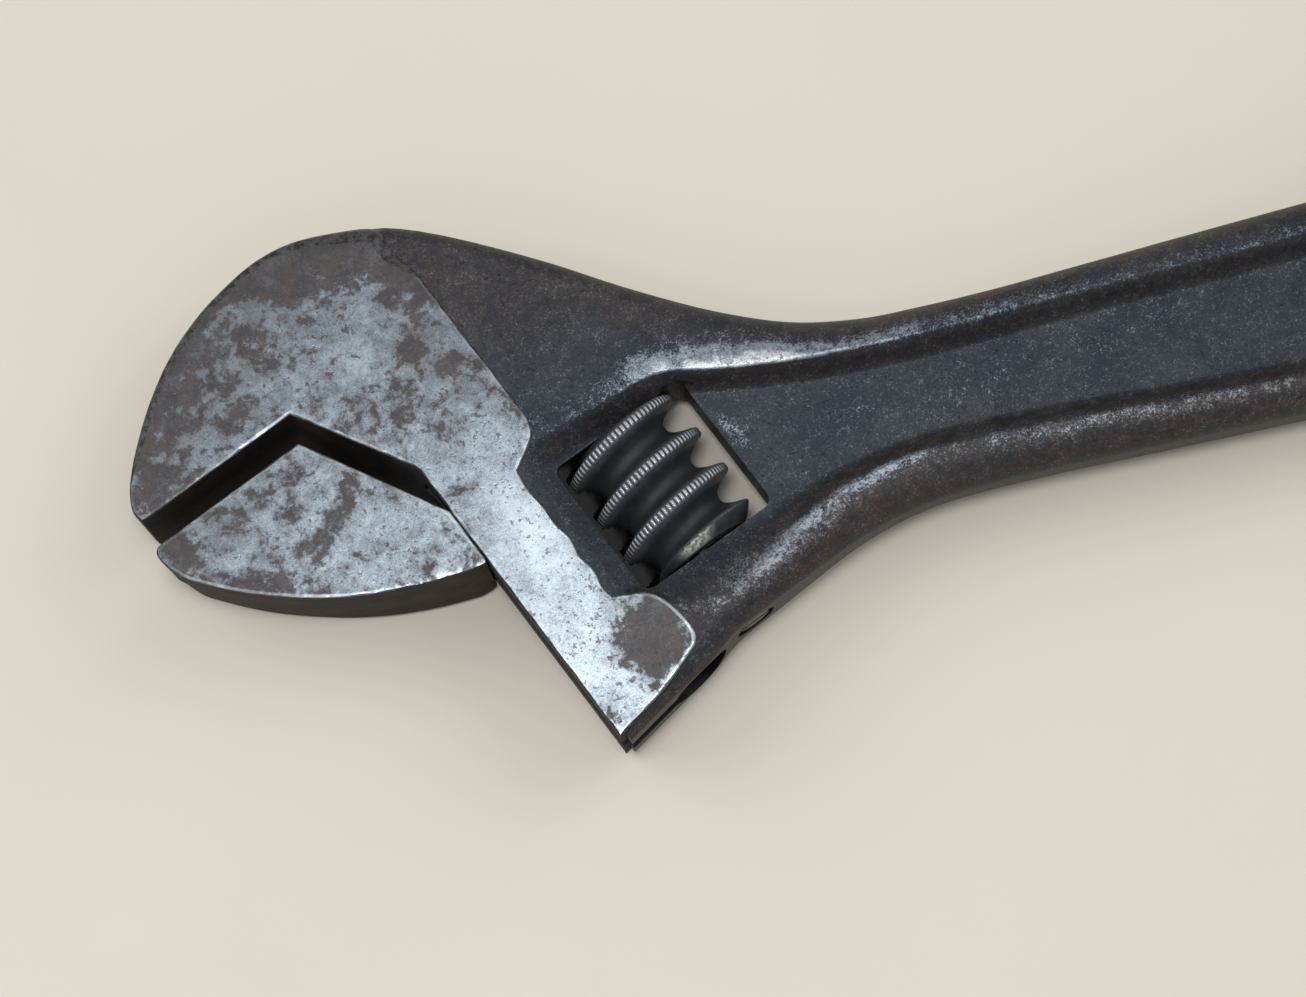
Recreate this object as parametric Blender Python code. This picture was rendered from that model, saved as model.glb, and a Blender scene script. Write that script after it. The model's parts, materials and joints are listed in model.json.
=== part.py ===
"""Adjustable wrench with an angled head: a forged body with its fixed jaw, a sliding jaw with a
toothed rack bar, and the threaded knurl that drives the rack, on its pin and spring.

World frame: the origin is the middle of the fixed jaw's flat face at half thickness, +X runs
along the handle, +Z through the thickness.
Head frame: u runs along the jaw face toward the tips, w in the direction in which the sliding
jaw opens, z through the thickness. The head frame is the world frame turned about Z.
"""

import math

import bmesh
import bpy
from mathutils import Matrix, Vector

MM = 0.001

# ---- Driving dimensions -------------------------------------------------------------------

OVERALL_LENGTH = 254.0 * MM
HEAD_THICKNESS = 14.5 * MM
HEAD_ANGLE = math.radians(22.5)

# Jaws
JAW_FACE_LENGTH = 20.7 * MM
JAW_FACE_ANGLE = math.radians(120.0)
JAW_BACK_HEIGHT = 17.2 * MM
REST_OPENING = 3.3 * MM
NOSE_FACE_LENGTH = 16.5 * MM
NOSE_DEPTH = 21.0 * MM
NOSE_HEEL_DROP = 16.4 * MM
NOSE_HEEL_HEIGHT = 7.2 * MM
NOSE_HEEL_CHAMFER = 0.9 * MM
NOSE_TIP_RADIUS = 2.8 * MM

# Slide: a slot from the guide strip's edge to a round bore, which holds the rack bar
SLIDE_OFFSET = 18.2 * MM
STRIP_WIDTH = 13.4 * MM
SLOT_WIDTH = 3.4 * MM
SLOT_TOP = 14.4 * MM
BORE_DIAMETER = 8.4 * MM
BORE_OFFSET = 11.6 * MM
BORE_TOP = 0.8 * MM
BAR_LENGTH = 37.0 * MM
GUIDE_END_WALL = 11.6 * MM
GUIDE_HEEL_RISE = 3.3 * MM
RECESS_INSET = 3.4 * MM
RECESS_MARGIN_TOP = 2.1 * MM
RECESS_MARGIN_BOTTOM = 1.6 * MM

# Window with the knurl
WINDOW_OFFSET = 12.1 * MM
WINDOW_LENGTH = 17.9 * MM
WINDOW_TOP = 22.8 * MM
WINDOW_WIDTH = 17.7 * MM
WINDOW_CORNER_RADIUS = 1.2 * MM
KNURL_DIAMETER = 16.4 * MM
THREAD_DEPTH = 2.85 * MM
THREAD_PITCH = 5.15 * MM
CREST_WIDTH = 1.3 * MM
THREAD_BASE_WIDTH = 3.1 * MM
THREAD_START = 24.2 * MM
PIN_DIAMETER = 4.6 * MM
PIN_SEAT_DEPTH = 5.3 * MM
PIN_END_INSET = 1.3 * MM
SPRING_WIRE_DIAMETER = 0.7 * MM
SPRING_DIAMETER = 7.2 * MM
SPRING_LENGTH = 4.0 * MM
SPRING_TURNS = 4

# Forged shoulder and handle
SHOULDER_THICKNESS = 13.2 * MM
HANDLE_THICKNESS = 11.5 * MM
WEB_THICKNESS = 6.6 * MM
NECK_X = 86.0 * MM
NECK_WIDTH = 21.8 * MM
NECK_AXIS_Y = -12.05 * MM
TAIL_WIDTH = 29.2 * MM
TAIL_AXIS_Y = -13.6 * MM
RIM_WIDTH = 4.4 * MM
RIM_DRAFT = 1.6 * MM
SHOULDER_EDGE_RADIUS = 2.6 * MM
GUIDE_EDGE_RADIUS = 3.2 * MM
GUIDE_END_BULGE = 2.2 * MM
HANDLE_EDGE_RADIUS = 4.2 * MM
HANGING_HOLE_DIAMETER = 9.5 * MM
HANGING_HOLE_INSET = 12.5 * MM
TAIL_LAND = 12.0 * MM
POCKET_RUN_OUT = 7.0 * MM
POCKET_EDGE_DEPTH = 0.2 * MM
RECESS_EDGE_STEP = 0.3 * MM

# Fits
RUNNING_CLEARANCE = 0.3 * MM
CUT_MARGIN = 3.0 * MM

# Curves, as shares of the sizes that they run between.
# The head's back, from the tips: share of the way to the forged shoulder, share of the height left.
HEAD_BACK = ((0.836, 0.105), (0.672, 0.0), (0.403, 0.105), (0.245, 0.36), (0.045, 0.733), (0.0, 0.884))
# The nose, from the tip: share of the jaw face's length, share of the nose's depth.
NOSE_BACK = ((-0.029, 0.043), (0.063, 0.26), (0.242, 0.47), (0.614, 0.79), (1.043, 1.0))
# The shoulder, from the head to the neck. Upper edge and lower edge: share of the way along, share
# of the height left. Last, how far the section has changed from the head's to the handle's.
SHOULDER = (
    (0.100, 0.911, 0.085, 0.787, 0.00),
    (0.264, 0.682, 0.180, 0.636, 0.15),
    (0.411, 0.445, 0.317, 0.460, 0.35),
    (0.558, 0.233, 0.454, 0.293, 0.60),
    (0.689, 0.092, 0.604, 0.142, 0.85),
    (0.836, 0.017, 0.780, 0.025, 1.00),
    (1.000, 0.000, 1.000, 0.000, 1.00),
)

# ---- Values worked out from the driving dimensions ----------------------------------------

HALF_FACE = JAW_FACE_LENGTH / 2
THROAT_U = -HALF_FACE
STRIP_U = -SLIDE_OFFSET
BORE_U = STRIP_U - BORE_OFFSET
WINDOW_NEAR_U = STRIP_U - WINDOW_OFFSET
WINDOW_FAR_U = WINDOW_NEAR_U - WINDOW_LENGTH
WINDOW_BOTTOM = WINDOW_TOP + WINDOW_WIDTH
KNURL_RADIUS = KNURL_DIAMETER / 2
KNURL_ROOT_RADIUS = KNURL_RADIUS - THREAD_DEPTH
KNURL_U = WINDOW_NEAR_U - KNURL_RADIUS - RUNNING_CLEARANCE / 3
KNURL_TOP = WINDOW_TOP + RUNNING_CLEARANCE
KNURL_LENGTH = WINDOW_WIDTH - 2 * RUNNING_CLEARANCE
KNURL_BOTTOM = KNURL_TOP + KNURL_LENGTH
THROAT_RISE = math.tan(JAW_FACE_ANGLE - math.pi / 2)
THROAT_END_W = (THROAT_U - STRIP_U) / THROAT_RISE
GROUND_EDGE_U = STRIP_U - STRIP_WIDTH
RECESS_EDGE_U = WINDOW_NEAR_U + RECESS_INSET
RECESS_TOP = WINDOW_TOP - RECESS_MARGIN_TOP
RECESS_BOTTOM = WINDOW_BOTTOM - RECESS_MARGIN_BOTTOM
GUIDE_LENGTH = WINDOW_BOTTOM + GUIDE_END_WALL
GUIDE_HEEL_W = GUIDE_LENGTH - GUIDE_HEEL_RISE
GUIDE_OUTER_W = GUIDE_HEEL_W + GUIDE_END_BULGE
TAIL_END_X = OVERALL_LENGTH - HALF_FACE
NECK_UPPER_Y = NECK_AXIS_Y + NECK_WIDTH / 2
NECK_LOWER_Y = NECK_AXIS_Y - NECK_WIDTH / 2
NOSE_HEEL_W = REST_OPENING + NOSE_HEEL_DROP + NOSE_HEEL_HEIGHT
BAR_TOP = BORE_TOP + REST_OPENING + RUNNING_CLEARANCE
NECK_TOP = SLOT_TOP + REST_OPENING + RUNNING_CLEARANCE
BAR_RADIUS = BORE_DIAMETER / 2 - RUNNING_CLEARANCE
HEAD_MATRIX = Matrix.Rotation(math.pi + HEAD_ANGLE, 4, 'Z')

# ---- Helpers ------------------------------------------------------------------------------


def clear_scene():
    for old in list(bpy.data.objects):
        bpy.data.objects.remove(old, do_unlink=True)


def new_collection(name):
    collection = bpy.data.collections.new(name)
    bpy.context.scene.collection.children.link(collection)
    return collection


def new_material(name, colour, roughness, metallic=1.0):
    material = bpy.data.materials.new(name)
    material.use_nodes = True
    shader = material.node_tree.nodes['Principled BSDF']
    shader.inputs['Base Color'].default_value = (*colour, 1.0)
    shader.inputs['Roughness'].default_value = roughness
    shader.inputs['Metallic'].default_value = metallic
    return material


def object_from_bmesh(name, shape, matrix, collection):
    mesh = bpy.data.meshes.new(name)
    bmesh.ops.recalc_face_normals(shape, faces=shape.faces)
    if shape.calc_volume(signed=True) < 0:
        bmesh.ops.reverse_faces(shape, faces=shape.faces)
    shape.to_mesh(mesh)
    shape.free()
    made = bpy.data.objects.new(name, mesh)
    made.matrix_world = matrix
    collection.objects.link(made)
    return made


def cylinder(name, radius, start, end, matrix, collection, segments=32):
    """A cylinder along the local Z axis, from start to end."""
    shape = bmesh.new()
    middle = Matrix.Translation((0, 0, (start + end) / 2))
    bmesh.ops.create_cone(shape, cap_ends=True, segments=segments, radius1=radius, radius2=radius,
                          depth=end - start, matrix=middle)
    return object_from_bmesh(name, shape, matrix, collection)


def box(name, low, high, matrix, collection, corner_radius=0.0):
    """A box between two corners, with its edges along local Z rounded."""
    shape = bmesh.new()
    size = [b - a for a, b in zip(low, high)]
    middle = [(a + b) / 2 for a, b in zip(low, high)]
    bmesh.ops.create_cube(shape, size=1.0, matrix=Matrix.Translation(middle) @ Matrix.Diagonal((*size, 1)))
    if corner_radius:
        upright = [e for e in shape.edges if abs(e.verts[0].co.z - e.verts[1].co.z) > size[2] / 2]
        bmesh.ops.bevel(shape, geom=upright, offset=corner_radius, segments=4, profile=0.5, affect='EDGES')
    return object_from_bmesh(name, shape, matrix, collection)


def loft(name, rings, matrix, collection):
    """A solid through closed rings that all have the same number of points."""
    shape = bmesh.new()
    rows = [[shape.verts.new(point) for point in ring] for ring in rings]
    count = len(rings[0])
    for row, following in zip(rows, rows[1:]):
        for i in range(count):
            j = (i + 1) % count
            shape.faces.new((row[i], row[j], following[j], following[i]))
    shape.faces.new(rows[0])
    shape.faces.new(reversed(rows[-1]))
    bmesh.ops.triangulate(shape, faces=shape.faces)
    return object_from_bmesh(name, shape, matrix, collection)


def turned(name, profile, matrix, collection, segments=32):
    """A closed profile of (radius, height) turned about the local Z axis."""
    shape = bmesh.new()
    verts = [shape.verts.new((radius, 0, height)) for radius, height in profile]
    edges = [shape.edges.new((verts[i - 1], verts[i])) for i in range(len(verts))]
    bmesh.ops.spin(shape, geom=verts + edges, cent=(0, 0, 0), axis=(0, 0, 1), angle=math.tau,
                   steps=segments, use_merge=True)
    return object_from_bmesh(name, shape, matrix, collection)


def plate(name, outline, half_thickness, matrix, collection, resolution=5):
    """A flat plate from a closed outline of (u, w, kind), where kind is 'corner' or 'smooth'."""
    curve = bpy.data.curves.new(name, 'CURVE')
    curve.dimensions = '2D'
    curve.fill_mode = 'BOTH'
    curve.extrude = half_thickness
    curve.resolution_u = resolution
    spline = curve.splines.new('BEZIER')
    spline.bezier_points.add(len(outline) - 1)
    spline.use_cyclic_u = True
    for point, (u, w, kind) in zip(spline.bezier_points, outline):
        handle = 'VECTOR' if kind == 'corner' else 'AUTO'
        point.co = (u, w, 0)
        point.handle_left_type = handle
        point.handle_right_type = handle
    drawn = bpy.data.objects.new(name, curve)
    collection.objects.link(drawn)
    bpy.context.view_layer.update()
    evaluated = drawn.evaluated_get(bpy.context.evaluated_depsgraph_get())
    shape = bmesh.new()
    shape.from_mesh(bpy.data.meshes.new_from_object(evaluated))
    bmesh.ops.remove_doubles(shape, verts=shape.verts, dist=0.001 * MM)
    bpy.data.objects.remove(drawn, do_unlink=True)
    return object_from_bmesh(name, shape, matrix, collection)


def combine(target, other, operation):
    modifier = target.modifiers.new(operation.title() + ' ' + other.name, 'BOOLEAN')
    modifier.operation = operation
    modifier.solver = 'EXACT'
    modifier.object = other
    other.hide_render = True
    other.display_type = 'WIRE'


def along_w(u):
    """A matrix whose Z axis is the head's w, X is the world's up and Y is u, at mid-thickness."""
    local = Matrix(((0, 1, 0, u), (0, 0, 1, 0), (1, 0, 0, 0), (0, 0, 0, 1)))
    return HEAD_MATRIX @ local


def world_xy(u, w):
    return (HEAD_MATRIX @ Vector((u, w, 0))).to_2d()


def between(start, end, share):
    return start + (end - start) * share


def smooth_curve(points, steps):
    """Points on a Catmull-Rom curve through the given ones, each a tuple of any length."""
    line = []
    last = len(points) - 1
    for i in range(last):
        before, start, end, after = (points[max(0, min(last, i + k))] for k in (-1, 0, 1, 2))
        for step in range(steps):
            t = step / steps
            weights = (-t + 2 * t ** 2 - t ** 3, 2 - 5 * t ** 2 + 3 * t ** 3,
                       t + 4 * t ** 2 - 3 * t ** 3, t ** 3 - t ** 2)
            line.append(tuple(0.5 * sum(k * v for k, v in zip(weights, column))
                              for column in zip(before, start, end, after)))
    line.append(tuple(points[-1]))
    return line


def rounded_section(upper, lower, half_thickness, upper_radius, lower_radius, corner_steps=4):
    """A slab's cross-section between two plan points, with its four corners rounded."""
    upper, lower = Vector(upper), Vector(lower)
    across = (lower - upper).normalized()
    middle = (upper + lower) / 2
    half_width = (lower - upper).length / 2
    ring = []
    for quarter, (side, top) in enumerate(((1, 1), (-1, 1), (-1, -1), (1, -1))):
        radius = lower_radius if side > 0 else upper_radius
        for step in range(corner_steps + 1):
            angle = (quarter + step / corner_steps) * math.pi / 2
            reach = side * (half_width - radius) + radius * math.cos(angle)
            height = top * (half_thickness - radius) + radius * math.sin(angle)
            point = middle + across * reach
            ring.append((point.x, point.y, height))
    return ring


# ---- The body -----------------------------------------------------------------------------


def head_outline():
    """Ground face of the head: fixed jaw, throat, guide strip and the boss at the guide's end."""
    back = -JAW_BACK_HEIGHT
    heel_middle = (GUIDE_LENGTH + GUIDE_HEEL_W) / 2 + RUNNING_CLEARANCE
    recess_cut = RECESS_EDGE_U - GROUND_EDGE_U
    outline = [
        (HALF_FACE, 0, 'corner'),
        (THROAT_U, 0, 'corner'),
        (STRIP_U, THROAT_END_W, 'corner'),
        (STRIP_U, GUIDE_LENGTH, 'corner'),
        ((STRIP_U + GROUND_EDGE_U) / 2, heel_middle, 'smooth'),
        (GROUND_EDGE_U, GUIDE_HEEL_W, 'corner'),
        (GROUND_EDGE_U - 0.08 * recess_cut, between(WINDOW_BOTTOM, GUIDE_HEEL_W, 0.66), 'smooth'),
        (GROUND_EDGE_U + 0.3 * recess_cut, between(WINDOW_BOTTOM, GUIDE_HEEL_W, 0.04), 'smooth'),
        (RECESS_EDGE_U, RECESS_BOTTOM, 'corner'),
        (RECESS_EDGE_U, RECESS_TOP, 'corner'),
        (GROUND_EDGE_U + 0.06 * recess_cut, RECESS_TOP - 0.55 * recess_cut, 'corner'),
        (GROUND_EDGE_U, back + 0.35 * JAW_BACK_HEIGHT, 'corner'),
    ]
    for along, left in HEAD_BACK:
        outline.append((between(HALF_FACE, GROUND_EDGE_U, along), back + left * JAW_BACK_HEIGHT, 'smooth'))
    return outline


def forging_stations():
    """Plan stations from the guide to the tail: upper x, y, lower x, y, half thickness, radii."""
    inside = JAW_BACK_HEIGHT / 17
    back = -JAW_BACK_HEIGHT
    head = (SHOULDER_THICKNESS / 2, SHOULDER_EDGE_RADIUS, GUIDE_EDGE_RADIUS)
    handle = (HANDLE_THICKNESS / 2, HANDLE_EDGE_RADIUS, HANDLE_EDGE_RADIUS)

    def in_head(upper_u, upper_w, lower_u, lower_w):
        return (*world_xy(upper_u, upper_w), *world_xy(lower_u, lower_w), *head)

    stations = [
        in_head(STRIP_U - inside, THROAT_END_W + 2 * inside,
                STRIP_U - 0.7 * inside, GUIDE_LENGTH + 0.9 * inside),
        in_head(GROUND_EDGE_U + 0.34 * STRIP_WIDTH, back + 4 * inside,
                GROUND_EDGE_U + 0.34 * STRIP_WIDTH, GUIDE_OUTER_W + 0.6 * inside),
        in_head(GROUND_EDGE_U - 0.2 * inside, back + 5.6 * inside,
                GROUND_EDGE_U - 0.7 * inside, GUIDE_OUTER_W + 0.2 * inside),
    ]
    upper_x, upper_y, lower_x, lower_y = stations[-1][:4]
    for upper_run, upper_left, lower_run, lower_left, change in SHOULDER:
        section = [between(a, b, change) for a, b in zip(head, handle)]
        stations.append((between(upper_x, NECK_X, upper_run), between(NECK_UPPER_Y, upper_y, upper_left),
                         between(lower_x, NECK_X, lower_run), between(NECK_LOWER_Y, lower_y, lower_left),
                         *section))
    tail_x = TAIL_END_X - TAIL_WIDTH / 2
    for share in (0.35, 0.7, 1.0):
        x = between(NECK_X, tail_x, share)
        axis_y = between(NECK_AXIS_Y, TAIL_AXIS_Y, share)
        width = between(NECK_WIDTH, TAIL_WIDTH, share)
        stations.append((x, axis_y + width / 2, x, axis_y - width / 2, *handle))
    return stations


def tail_stations(steps=7):
    """The round end, closing to a narrow flat."""
    tail_radius = TAIL_WIDTH / 2
    sweep = math.radians(72.0)
    stations = []
    for step in range(1, steps + 1):
        angle = sweep * step / steps
        x = TAIL_END_X - tail_radius + tail_radius * math.sin(angle) / math.sin(sweep)
        half = tail_radius * math.cos(angle)
        radius = min(HANDLE_EDGE_RADIUS, 0.95 * half)
        stations.append((x, TAIL_AXIS_Y + half, x, TAIL_AXIS_Y - half, HANDLE_THICKNESS / 2, radius, radius))
    return stations


def build_forging(collection):
    guide, *rest = forging_stations()
    stations = [guide] + smooth_curve(rest, 3) + tail_stations()
    rings = [rounded_section(s[0:2], s[2:4], *s[4:7]) for s in stations]
    return loft('forging', rings, Matrix.Identity(4), collection)


def build_pocket(side, collection):
    """The hollow beside the window and along the handle, on the top (side 1) or bottom (-1)."""
    rim_upper = NECK_UPPER_Y - RIM_WIDTH
    rim_lower = NECK_LOWER_Y + RIM_WIDTH
    tail_half = TAIL_WIDTH / 2 - RIM_WIDTH
    end_x = TAIL_END_X - HANGING_HOLE_INSET - TAIL_LAND
    floor = WEB_THICKNESS / 2
    half = HEAD_THICKNESS / 2
    corner_upper = world_xy(between(WINDOW_NEAR_U, WINDOW_FAR_U, 0.78), RECESS_TOP + RECESS_EDGE_STEP)
    corner_lower = world_xy(between(WINDOW_NEAR_U, WINDOW_FAR_U, 0.92), WINDOW_BOTTOM + 4 * RECESS_EDGE_STEP)

    def to_neck(run_upper, run_lower, left):
        return (between(corner_upper.x, NECK_X, run_upper), between(rim_upper, corner_upper.y, left),
                between(corner_lower.x, NECK_X, run_lower), between(rim_lower, corner_lower.y, left),
                RIM_DRAFT, floor)

    def at_tail(run, width_share, depth):
        reach = tail_half * width_share
        return (end_x + run * POCKET_RUN_OUT, TAIL_AXIS_Y + reach, end_x + run * POCKET_RUN_OUT,
                TAIL_AXIS_Y - reach, RIM_DRAFT, depth)

    stations = [
        (*world_xy(RECESS_EDGE_U, RECESS_TOP), *world_xy(RECESS_EDGE_U, RECESS_BOTTOM),
         POCKET_EDGE_DEPTH, half - POCKET_EDGE_DEPTH),
        (*world_xy(WINDOW_NEAR_U, RECESS_TOP - POCKET_EDGE_DEPTH),
         *world_xy(WINDOW_NEAR_U, WINDOW_BOTTOM + POCKET_EDGE_DEPTH), RIM_DRAFT, between(floor, half, 0.4)),
        (*corner_upper, *corner_lower, RIM_DRAFT, floor),
        to_neck(0.272, 0.108, 0.09),
        to_neck(0.677, 0.591, 0.0),
        to_neck(1.0, 1.0, 0.0),
        at_tail(0.0, 1.0, floor),
        at_tail(0.7, 0.5, between(floor, half, 0.5)),
        at_tail(1.0, 0.33, HANDLE_THICKNESS / 2 + RUNNING_CLEARANCE),
    ]
    rings = []
    top = half + CUT_MARGIN
    for x1, y1, x2, y2, draft, depth in stations:
        upper, lower = Vector((x1, y1)), Vector((x2, y2))
        across = (lower - upper).normalized()
        flare = across * draft * (top - depth) / (half - floor)
        inner = across * draft
        corners = ((upper + inner, depth), (lower - inner, depth),
                   (lower - inner + flare, top), (upper + inner - flare, top))
        rings.append([(p.x, p.y, side * z) for p, z in corners])
    return loft('pocket', rings, Matrix.Identity(4), collection)


def build_body(parts, cutters, material):
    half = HEAD_THICKNESS / 2
    body = plate('body', head_outline(), half, HEAD_MATRIX, parts)
    combine(body, build_forging(cutters), 'UNION')
    for side in (1, -1):
        combine(body, build_pocket(side, cutters), 'DIFFERENCE')
    window = box('window', (WINDOW_FAR_U, WINDOW_TOP, -half - CUT_MARGIN),
                 (WINDOW_NEAR_U, WINDOW_BOTTOM, half + CUT_MARGIN),
                 HEAD_MATRIX, cutters, WINDOW_CORNER_RADIUS)
    combine(body, window, 'DIFFERENCE')
    guide_exit = GUIDE_LENGTH + CUT_MARGIN
    bore = cylinder('bore', BORE_DIAMETER / 2, BORE_TOP, guide_exit, along_w(BORE_U), cutters)
    combine(body, bore, 'DIFFERENCE')
    slot = box('slot', (BORE_U, SLOT_TOP, -SLOT_WIDTH / 2),
               (STRIP_U + CUT_MARGIN, guide_exit, SLOT_WIDTH / 2), HEAD_MATRIX, cutters)
    combine(body, slot, 'DIFFERENCE')
    pin_hole = cylinder('pin_hole', PIN_DIAMETER / 2 + RUNNING_CLEARANCE,
                        WINDOW_TOP - PIN_SEAT_DEPTH - RUNNING_CLEARANCE, guide_exit + CUT_MARGIN,
                        along_w(KNURL_U), cutters, 24)
    combine(body, pin_hole, 'DIFFERENCE')
    hole_at = Matrix.Translation((TAIL_END_X - HANGING_HOLE_INSET, TAIL_AXIS_Y, 0))
    hanging_hole = cylinder('hanging_hole', HANGING_HOLE_DIAMETER / 2, -HANDLE_THICKNESS, HANDLE_THICKNESS,
                            hole_at, cutters)
    combine(body, hanging_hole, 'DIFFERENCE')
    body.data.materials.append(material)
    return body


# ---- The thread ---------------------------------------------------------------------------


def build_thread(name, start, end, clearance, matrix, collection, steps_per_turn=24):
    """A right-hand thread about local Z, its crest passing local X at THREAD_START."""
    crest = KNURL_RADIUS + clearance
    sunk = THREAD_DEPTH * 0.35
    root = KNURL_ROOT_RADIUS + clearance - sunk
    half_crest = CREST_WIDTH / 2 + clearance
    half_base = THREAD_BASE_WIDTH / 2 + clearance
    half_root = half_base + (half_base - half_crest) * sunk / THREAD_DEPTH
    half_root = min(half_root, 0.49 * THREAD_PITCH)
    first = math.floor((start - THREAD_START) / THREAD_PITCH * steps_per_turn)
    last = math.ceil((end - THREAD_START) / THREAD_PITCH * steps_per_turn)
    rings = []
    for step in range(first, last + 1):
        turn = step / steps_per_turn
        height = THREAD_START + THREAD_PITCH * turn
        c, s = math.cos(turn * math.tau), math.sin(turn * math.tau)
        profile = ((root, -half_root), (crest, -half_crest), (crest, half_crest), (root, half_root))
        rings.append([(r * c, r * s, height + w) for r, w in profile])
    return loft(name, rings, matrix, collection)


def build_screw(name, start, end, clearance, matrix, collection):
    """The knurl's outer shape with a clearance added: a core with a thread joined to it."""
    core = cylinder(name, KNURL_ROOT_RADIUS + clearance, start - CUT_MARGIN, end + CUT_MARGIN,
                    matrix, collection, 48)
    thread = build_thread(name + '_thread', start - THREAD_PITCH, end + THREAD_PITCH, clearance,
                          matrix, bpy.data.collections['cutters'])
    combine(core, thread, 'UNION')
    return core


def build_knurl(parts, cutters, material):
    axis = along_w(KNURL_U)
    knurl = build_screw('knurl', KNURL_TOP, KNURL_BOTTOM, 0.0, axis, parts)
    outer = KNURL_RADIUS + CUT_MARGIN
    bore = PIN_DIAMETER / 2 + RUNNING_CLEARANCE
    counterbore = (SPRING_DIAMETER + SPRING_WIRE_DIAMETER) / 2 + RUNNING_CLEARANCE
    spring_seat = KNURL_BOTTOM - SPRING_LENGTH
    profile = [(outer, KNURL_TOP), (outer, KNURL_BOTTOM), (counterbore, KNURL_BOTTOM),
               (counterbore, spring_seat), (bore, spring_seat), (bore, KNURL_TOP)]
    blank = turned('knurl_blank', profile, axis, cutters)
    combine(knurl, blank, 'INTERSECT')
    knurl.data.materials.append(material)
    return knurl


def build_pin(parts, material):
    start = WINDOW_TOP - PIN_SEAT_DEPTH
    end = GUIDE_OUTER_W - PIN_END_INSET
    pin = cylinder('knurl_pin', PIN_DIAMETER / 2, start, end, along_w(KNURL_U), parts, 24)
    pin.data.materials.append(material)
    return pin


def build_spring(parts, material):
    """A coil spring around the pin, between the knurl's counterbore and the window's wall."""
    curve = bpy.data.curves.new('knurl_spring', 'CURVE')
    curve.dimensions = '3D'
    curve.bevel_depth = SPRING_WIRE_DIAMETER / 2
    curve.bevel_resolution = 2
    curve.use_fill_caps = True
    steps = 14 * SPRING_TURNS
    low = KNURL_BOTTOM - SPRING_LENGTH + RUNNING_CLEARANCE + SPRING_WIRE_DIAMETER / 2
    high = WINDOW_BOTTOM - RUNNING_CLEARANCE - SPRING_WIRE_DIAMETER / 2
    spline = curve.splines.new('POLY')
    spline.points.add(steps)
    for step, point in enumerate(spline.points):
        angle = SPRING_TURNS * math.tau * step / steps
        point.co = (SPRING_DIAMETER / 2 * math.cos(angle), SPRING_DIAMETER / 2 * math.sin(angle),
                    low + (high - low) * step / steps, 1)
    wire = bpy.data.objects.new('spring_wire', curve)
    parts.objects.link(wire)
    bpy.context.view_layer.update()
    evaluated = wire.evaluated_get(bpy.context.evaluated_depsgraph_get())
    shape = bmesh.new()
    shape.from_mesh(bpy.data.meshes.new_from_object(evaluated))
    bmesh.ops.remove_doubles(shape, verts=shape.verts, dist=0.001 * MM)
    bpy.data.objects.remove(wire, do_unlink=True)
    spring = object_from_bmesh('knurl_spring', shape, along_w(KNURL_U), parts)
    spring.data.materials.append(material)
    return spring


# ---- The sliding jaw ----------------------------------------------------------------------


def nose_outline():
    face = REST_OPENING
    face_u = HALF_FACE - NOSE_TIP_RADIUS
    back_u = STRIP_U + 2 * RUNNING_CLEARANCE
    outline = [
        (face_u - NOSE_FACE_LENGTH, face, 'corner'),
        (face_u, face, 'corner'),
    ]
    for along, deep in NOSE_BACK:
        outline.append((HALF_FACE - along * JAW_FACE_LENGTH, face + deep * NOSE_DEPTH, 'smooth'))
    return outline + [
        (back_u + NOSE_HEEL_CHAMFER / 2, NOSE_HEEL_W, 'corner'),
        (back_u, NOSE_HEEL_W - NOSE_HEEL_CHAMFER, 'corner'),
        (back_u, face + NOSE_HEEL_DROP, 'corner'),
    ]


def build_sliding_jaw(parts, cutters, material):
    jaw = plate('sliding_jaw', nose_outline(), HEAD_THICKNESS / 2, HEAD_MATRIX, parts)
    half_neck = SLOT_WIDTH / 2 - RUNNING_CLEARANCE
    neck = box('neck', (BORE_U, NECK_TOP, -half_neck),
               (STRIP_U + CUT_MARGIN, NOSE_HEEL_W - RUNNING_CLEARANCE, half_neck), HEAD_MATRIX, cutters)
    combine(jaw, neck, 'UNION')
    bar = cylinder('bar', BAR_RADIUS, BAR_TOP, BAR_TOP + BAR_LENGTH, along_w(BORE_U), cutters, 32)
    combine(jaw, bar, 'UNION')
    rack_cut = build_screw('rack_cut', BAR_TOP, BAR_TOP + BAR_LENGTH, RUNNING_CLEARANCE,
                           along_w(KNURL_U), cutters)
    combine(jaw, rack_cut, 'DIFFERENCE')
    jaw.data.materials.append(material)
    return jaw


def main():
    clear_scene()
    parts = new_collection('adjustable_wrench')
    cutters = new_collection('cutters')
    ground_steel = new_material('ground_steel', (0.17, 0.18, 0.19), 0.38)
    blackened_steel = new_material('blackened_steel', (0.055, 0.06, 0.065), 0.45)
    pin_steel = new_material('pin_steel', (0.12, 0.12, 0.12), 0.4)
    spring_steel = new_material('spring_steel', (0.2, 0.2, 0.2), 0.35)
    build_body(parts, cutters, blackened_steel)
    build_sliding_jaw(parts, cutters, ground_steel)
    build_knurl(parts, cutters, blackened_steel)
    build_pin(parts, pin_steel)
    build_spring(parts, spring_steel)


main()
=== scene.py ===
# %% [markdown]
# # An old adjustable wrench
#
# A forged steel wrench with an angled head. One jaw is part of the body. The other slides along
# the head's guide, because its toothed bar meshes with a threaded knurl that a thumb turns.
#
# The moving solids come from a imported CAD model. This notebook gives them their real surface:
# soft forged shapes, ground faces with a patina, a ribbed thread and worn edges. Each piece is
# worked out with numpy as a grid of points, and each finish is a small network of nodes.

import json
import math

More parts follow.
